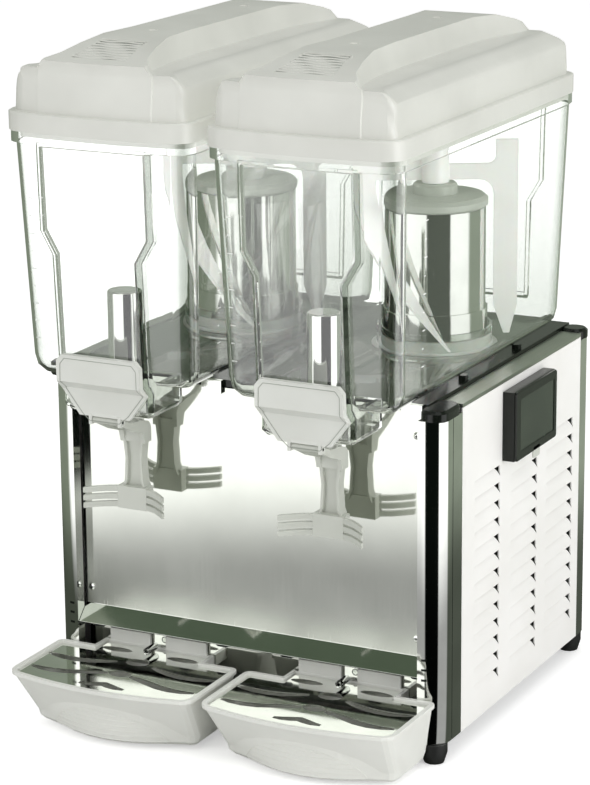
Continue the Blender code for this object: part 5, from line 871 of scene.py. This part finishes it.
LINE_INSET, LINE_STEP, LINE_RADIUS, LINE_REAR = 3.6 * MM, 1.5 * MM, 0.32 * MM, 2 * MM
for side in SIDES:
    cover = "tap_cover_" + side
    flat = [Vector((v.co.x, v.co.z)) for v in solid[cover].data.vertices]
    hull = [flat[i] for i in convex_hull_2d(flat)]
    low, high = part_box(cover)
    x, z = (low.x + high.x) / 2, (low.z + high.z) / 2
    wide, tall = 1 - 2 * LINE_INSET / (high.x - low.x), 1 - 2 * LINE_INSET / (high.z - low.z)
    inner = [Vector((x + (p.x - x) * wide, z + (p.y - z) * tall)) for p in hull]
    path = []
    for here, after in zip(inner, inner[1:] + inner[:1]):
        steps = max(1, int((after - here).length / LINE_STEP))
        path += [here.lerp(after, i / steps) for i in range(steps)]
    path = [touch(cover, (p.x, -1.0, p.y), BACKWARD) for p in path]
    path = [p for p in path if p is not None and p.y < high.y - LINE_REAR]
    line = bead_mesh(path, LINE_RADIUS, closed=True)
    add_piece("tap_line_" + side, *line, groove_shade, "bowl_" + side, "tap_plastic")
    print("points in the line:", len(path))

# %% [markdown]
# ## Ribs on the trays
# A half-round field swells from the foot of each tray. Fine level ribs cross it, each as long as
# the field is wide at its height. They are found on the solid from in front, point by point, and
# drawn as beads sunk to half their thickness.

# %% Tray ribs
FIELD_HALF, FIELD_TOP, RIB_SHORT = 0.064, 0.0375, 2 * MM
RIB_HEIGHTS = [z * MM for z in (9, 14, 19, 24, 29, 33.5)]
RIB_RADIUS, ARCH_RADIUS = 0.5 * MM, 0.45 * MM
ARCH_TURNS = [math.pi * i / 48 for i in range(4, 45)]
for side in SIDES:
    tray, middle = "drip_tray_" + side, UNIT_MIDDLE[side]
    ribs = []
    for z in RIB_HEIGHTS:
        half = FIELD_HALF * math.sqrt(max(0.0, 1 - (z / FIELD_TOP) ** 2)) - RIB_SHORT
        path = [touch(tray, (middle + half * (i / 16 - 1), -1.0, z), BACKWARD) for i in range(33)]
        ribs.append(bead_mesh(path, RIB_RADIUS))
    arch = [(middle + FIELD_HALF * math.cos(t), -1.0, FIELD_TOP * math.sin(t)) for t in ARCH_TURNS]
    arch = [touch(tray, place, BACKWARD) for place in arch]
    ribs.append(bead_mesh(arch, ARCH_RADIUS))
    add_piece("tray_ribs_" + side, *joined(*ribs), tray_abs_painted_paler, "tray_" + side, "lid_plastic")
print("ribs on each tray:", len(RIB_HEIGHTS))

# %% [markdown]
# ## The drain spout of each tray
# Between the two flaps at the back of a tray lies a short clear tube through which spilt drink can
# be led away. It is a turned ring too, on a level axis: an outer wall, an inner wall and eased ends.

# %% Spouts
SPOUT_OUTER, SPOUT_BORE, SPOUT_EASE = 3.4 * MM, 2.5 * MM, 0.5 * MM
SPOUT_FRONT, SPOUT_REAR, SPOUT_HEIGHT = -0.1330, -0.1140, 66.5 * MM
SPOUT = [(SPOUT_OUTER, SPOUT_FRONT + SPOUT_EASE), (SPOUT_OUTER - 0.3 * MM, SPOUT_FRONT),
         (SPOUT_BORE, SPOUT_FRONT), (SPOUT_BORE, SPOUT_REAR), (SPOUT_OUTER, SPOUT_REAR)]
for side in SIDES:
    middle = UNIT_MIDDLE[side]
    tube = turned_mesh(SPOUT, 20, lambda a, b, rise: (middle + a, rise, SPOUT_HEIGHT + b))
    add_piece("tray_spout_" + side, *tube, clear_bowl, "tray_" + side, "clear_plastic")
print("spout:", round((SPOUT_REAR - SPOUT_FRONT) / MM, 1), "mm long")

# %% [markdown]
# ## Screw heads with a cross
# Four small pan-head screws hold the front panel. Each head is a low dome with a cross pressed
# into it, about 6 mm across. The dome is a ring of rows that falls to the rim. The recess of the
# cross is painted shade: two short black bars laid over its crown.

# %% Screws
SCREW_OFFSET, SCREW_HEIGHTS, SCREW_TURNS = 0.173, (0.116, 0.310), 16
SCREW_CROWN, SCREW_ROWS = 0.55 * MM, ((1.2 * MM, 0.5 * MM), (2.3 * MM, 0.3 * MM), (3.1 * MM, 0.0))
CROSS_RISE, CROSS_DEPTH, CROSS_LONG, CROSS_THIN = 0.62 * MM, 0.3 * MM, 1.6 * MM, 0.4 * MM
low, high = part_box("front_panel")
screw_places = [((low.x + high.x) / 2 + s * SCREW_OFFSET, z) for s in (-1, 1) for z in SCREW_HEIGHTS]
rim = [2 * math.pi * i / SCREW_TURNS for i in range(SCREW_TURNS)]
after = [(i + 1) % SCREW_TURNS for i in range(SCREW_TURNS)]
for number, (x, z) in enumerate(screw_places):
    sheet = touch("front_panel", (x, -1.0, z), BACKWARD).y
    points = [(x, sheet - SCREW_CROWN, z)]
    for radius, rise in SCREW_ROWS:
        points += [(x + radius * math.cos(t), sheet - rise, z + radius * math.sin(t)) for t in rim]
    faces = [(0, 1 + i, 1 + after[i]) for i in range(SCREW_TURNS)]
    for row in range(len(SCREW_ROWS) - 1):
        here, there = 1 + row * SCREW_TURNS, 1 + (row + 1) * SCREW_TURNS
        faces += [(here + i, there + i, there + after[i], here + after[i]) for i in range(SCREW_TURNS)]
    add_piece("screw_head_%d" % number, points, faces, steel, "cabinet", "polished_steel")
    # The cross is painted shade for the recess, in black.
    cross = []
    for u, v in ((CROSS_LONG, CROSS_THIN), (CROSS_THIN, CROSS_LONG)):
        bar = [(x + a, sheet - CROSS_RISE, z + b) for a, b in rounded(-u, u, -v, v, 0.3 * MM, 2)]
        cross.append(plate_mesh(bar, (0, CROSS_DEPTH, 0)))
    add_piece("screw_cross_shade_%d" % number, *joined(*cross), black_abs, "cabinet", "black_plastic")
print("screws:", len(screw_places))

# %% [markdown]
# ## The rounded front posts
# Each front corner is a polished tube section: a wide round that sweeps from the front to the side,
# then a hairline joint, then a flat strip up to the side panel. The round mirrors a third of the
# room in a hand's breadth, which gives the tall black and white bands of such posts. Its sheet is
# bent here to the real radius, inside the space of the plain solid that it takes the place of.
# Three slots in its foot, where the tray bracket hooks in, are drawn as black patches on the round: painted
# shade for their dark insides.

# %% Posts, strips and slots
ROUND, POST_THICK, JOINT, RETURN = 22.0 * MM, 1.2 * MM, 0.5 * MM, 12.0 * MM
JOINT_SHADE_HALF, SLOT_HEIGHTS, SLOT_HALF = 3 * MM, (0.1020, 0.0925, 0.0825), 1.1 * MM
QUARTER = [math.pi / 2 * i / 24 for i in range(25)]
SLOT_TURNS = [math.radians(4 + 3.4 * i) for i in range(5)]


def swept(centre, sign, radius, turns):
    """Points of a round at some turns from the front towards the side."""
    return [(centre.x + sign * radius * math.sin(t), centre.y - radius * math.cos(t)) for t in turns]


for side, sign in (("left", -1), ("right", 1)):
    node = "corner_post_front_" + side
    low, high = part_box(node)
    tall = (0, 0, high.z - low.z)
    inner, outer = (low.x, high.x) if sign > 0 else (high.x, low.x)
    centre = Vector((outer - sign * ROUND, low.y + ROUND))
    joint = centre.y + 2 * MM
    thick = sign * POST_THICK
    outline = [(inner, low.y + RETURN), (inner, low.y)] + swept(centre, sign, ROUND, QUARTER)
    outline += [(outer, joint - JOINT), (outer - thick, joint - JOINT)]
    outline += swept(centre, sign, ROUND - POST_THICK, QUARTER)[::-1]
    outline += [(inner + thick, low.y + POST_THICK), (inner + thick, low.y + RETURN)]
    post = plate_mesh([(x, y, low.z) for x, y in outline], tall)
    post = add_piece("front_post_" + side, *post, steel, "cabinet", "polished_steel")
    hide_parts(node)
    strip = [(outer, joint + JOINT), (outer, high.y), (outer - thick, high.y), (outer - thick, joint + JOINT)]
    strip = plate_mesh([(x, y, low.z) for x, y in strip], tall)
    add_piece("post_strip_" + side, *strip, steel, "cabinet", "polished_steel")
    # A black plate behind the joint is painted shade: it keeps the hairline gap dark.
    joint_shade = [(outer - 2 * thick, joint - JOINT_SHADE_HALF), (outer - 2 * thick, joint + JOINT_SHADE_HALF),
            (outer - 1.4 * thick, joint + JOINT_SHADE_HALF), (outer - 1.4 * thick, joint - JOINT_SHADE_HALF)]
    joint_shade = plate_mesh([(x, y, low.z) for x, y in joint_shade], tall)
    add_piece("post_joint_shade_" + side, *joint_shade, black_abs, "cabinet", "black_plastic")
    # Painted shade: a black patch on the round for each slot.
    slots = []
    for z in SLOT_HEIGHTS:
        ring = swept(centre, sign, ROUND + 0.1 * MM, SLOT_TURNS)
        points = [(x, y, z + up) for up in (-SLOT_HALF, SLOT_HALF) for x, y in ring]
        slots.append((points, [(i, i + 1, i + 6, i + 5) for i in range(4)]))
    add_piece("post_slot_shade_" + side, *joined(*slots), black_abs, "cabinet", "black_plastic")
print("round of the posts:", round(ROUND / MM), "mm")

# %% [markdown]
# ## The dust screen
# Behind the louvres hangs a dark woven screen that keeps dust off the condenser. Its near-black
# cloth is also painted shade: it makes the openings read as deep as the dark inside of the cabinet.
# Its cloth is drawn with 2 mm meshes, twice the real size, because finer ones can't be seen
# through a louvre.

# %% Screen cloth
THREAD, CLOTH_MESH = 0.3 * MM, 2 * MM
SCREEN_GAP, SCREEN_THICK, SCREEN_EDGE, SCREEN_FOOT, SCREEN_TOP = 1.4 * MM, 0.6 * MM, 14 * MM, 0.032, 0.262


def screen_cloth():
    finish, tree, shader, places = start_finish("dust_screen_and_shade_cloth", 0.0, 0.9, 1.5)
    weave = {"Vector": places, "Scale": 1.0, "Color1": light_of("0D0F0D"), "Color2": light_of("131513"),
             "Mortar": light_of("1E211E"), "Mortar Size": THREAD,
             "Brick Width": CLOTH_MESH, "Row Height": CLOTH_MESH}
    threads = add_node(tree, "ShaderNodeTexBrick", weave)
    tree.links.new(threads.outputs["Color"], shader.inputs["Base Color"])
    return finish


cloth = screen_cloth()
for side, sign in (("left", 1), ("right", -1)):
    low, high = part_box("side_panel_" + side)
    face = low.x - SCREEN_GAP if side == "right" else high.x + SCREEN_GAP
    sheet = rounded(low.y + SCREEN_EDGE, high.y - SCREEN_EDGE, SCREEN_FOOT, SCREEN_TOP, 4 * MM, 3)
    sheet = plate_mesh([(face, a, b) for a, b in sheet], (sign * SCREEN_THICK, 0, 0))
    add_piece("dust_screen_" + side, *sheet, cloth, "cabinet", "black_plastic")
print("dust screens:", round((SCREEN_TOP - SCREEN_FOOT) / MM), "mm tall")

# %% [markdown]
# ## Shade at the ends of the louvres
# At the rear end of each opening one looks past the leaf into the dark cabinet, so a dark wedge
# stands there. The leaf itself is part of the solid. The wedge is painted shade, a dark sliver laid
# on the leaf, widest at the free edge, with a tail past the fold.

# %% Louvre ends
SHADE_WEDGE_WIDTH, LEAF_HEIGHT, SHADE_WEDGE_TAIL, LEAF_LEAN = 6.0 * MM, 7.5 * MM, 2.4 * MM, 4.5 * MM
for side, sign in (("left", -1), ("right", 1)):
    node = "side_panel_" + side
    low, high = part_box(node)
    face = high.x if sign > 0 else low.x
    edges = {}
    for vertex in solid[node].data.vertices:
        if abs(vertex.co.x - (face - sign * LEAF_LEAN)) < 0.1 * MM:
            edges.setdefault(round(vertex.co.z, 4), set()).add(round(vertex.co.y, 5))
    # Each wedge is painted shade: a black sliver on the leaf where the opening looks into the cabinet.
    shade_wedges = []
    for top, ends in edges.items():
        for rear in sorted(ends)[1::2]:
            lift = sign * 0.15 * MM
            upper = Vector((face - sign * LEAF_LEAN + lift, rear, top))
            fold = Vector((face + lift, rear + 0.8 * MM, top - LEAF_HEIGHT))
            tip = fold + Vector((0, 0.9 * MM, -SHADE_WEDGE_TAIL))
            waist = upper.lerp(fold, 0.55) - Vector((0, 0.42 * SHADE_WEDGE_WIDTH, 0))
            points = [upper, upper - Vector((0, SHADE_WEDGE_WIDTH, 0)), fold, waist, tip, fold - Vector((0, 1.3 * MM, 0))]
            shade_wedges.append((points, [(0, 1, 3, 2), (2, 3, 5), (2, 5, 4)]))
    add_piece("louvre_end_shade_" + side, *joined(*shade_wedges), black_abs, "cabinet", "black_plastic")
    print(node, "louvres:", len(shade_wedges))

# %% [markdown]
# ## Marks on the switches
# The two rockers carry the usual bar and ring for on and off, and the thermostat knob a pointer
# line, all in white paint, drawn as beads a third of a millimetre high. They only show with the
# cover lifted.

# %% Bars, rings and the pointer
SIGN_OFFSET, BAR_HALF, SIGN_ROUND = 6 * MM, 2 * MM, 2 * MM
BAR_RADIUS, RING_LINE, POINTER_RADIUS = 0.35 * MM, 0.3 * MM, 0.4 * MM
POINTER_FROM, POINTER_TO = 3 * MM, 9 * MM
for number in (1, 2):
    node = "rocker_switch_%d" % number
    low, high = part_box("rocker_switch_%d" % number)
    y, z = (low.y + high.y) / 2, (low.z + high.z) / 2
    bar_spot = touch(node, (1.0, y, z + SIGN_OFFSET), LEFTWARD)
    ring_spot = touch(node, (1.0, y, z - SIGN_OFFSET), LEFTWARD)
    bar = bead_mesh([(bar_spot.x, y, z + SIGN_OFFSET + end * BAR_HALF) for end in (-1, 1)], BAR_RADIUS)
    foot, turns = z - SIGN_OFFSET, [math.pi * i / 8 for i in range(16)]
    circle = [(ring_spot.x, y + SIGN_ROUND * math.cos(t), foot + SIGN_ROUND * math.sin(t)) for t in turns]
    signs = joined(bar, bead_mesh(circle, RING_LINE, closed=True))
    add_piece("rocker_marks_%d" % number, *signs, pad_print, "rocker_%d" % number, "paddle_plastic")
low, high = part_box("thermostat_knob")
y, z = (low.y + high.y) / 2, (low.z + high.z) / 2
pointer = bead_mesh([(high.x, y, z + POINTER_FROM), (high.x, y, z + POINTER_TO)], POINTER_RADIUS)
add_piece("knob_pointer", *pointer, pad_print, "knob", "paddle_plastic")
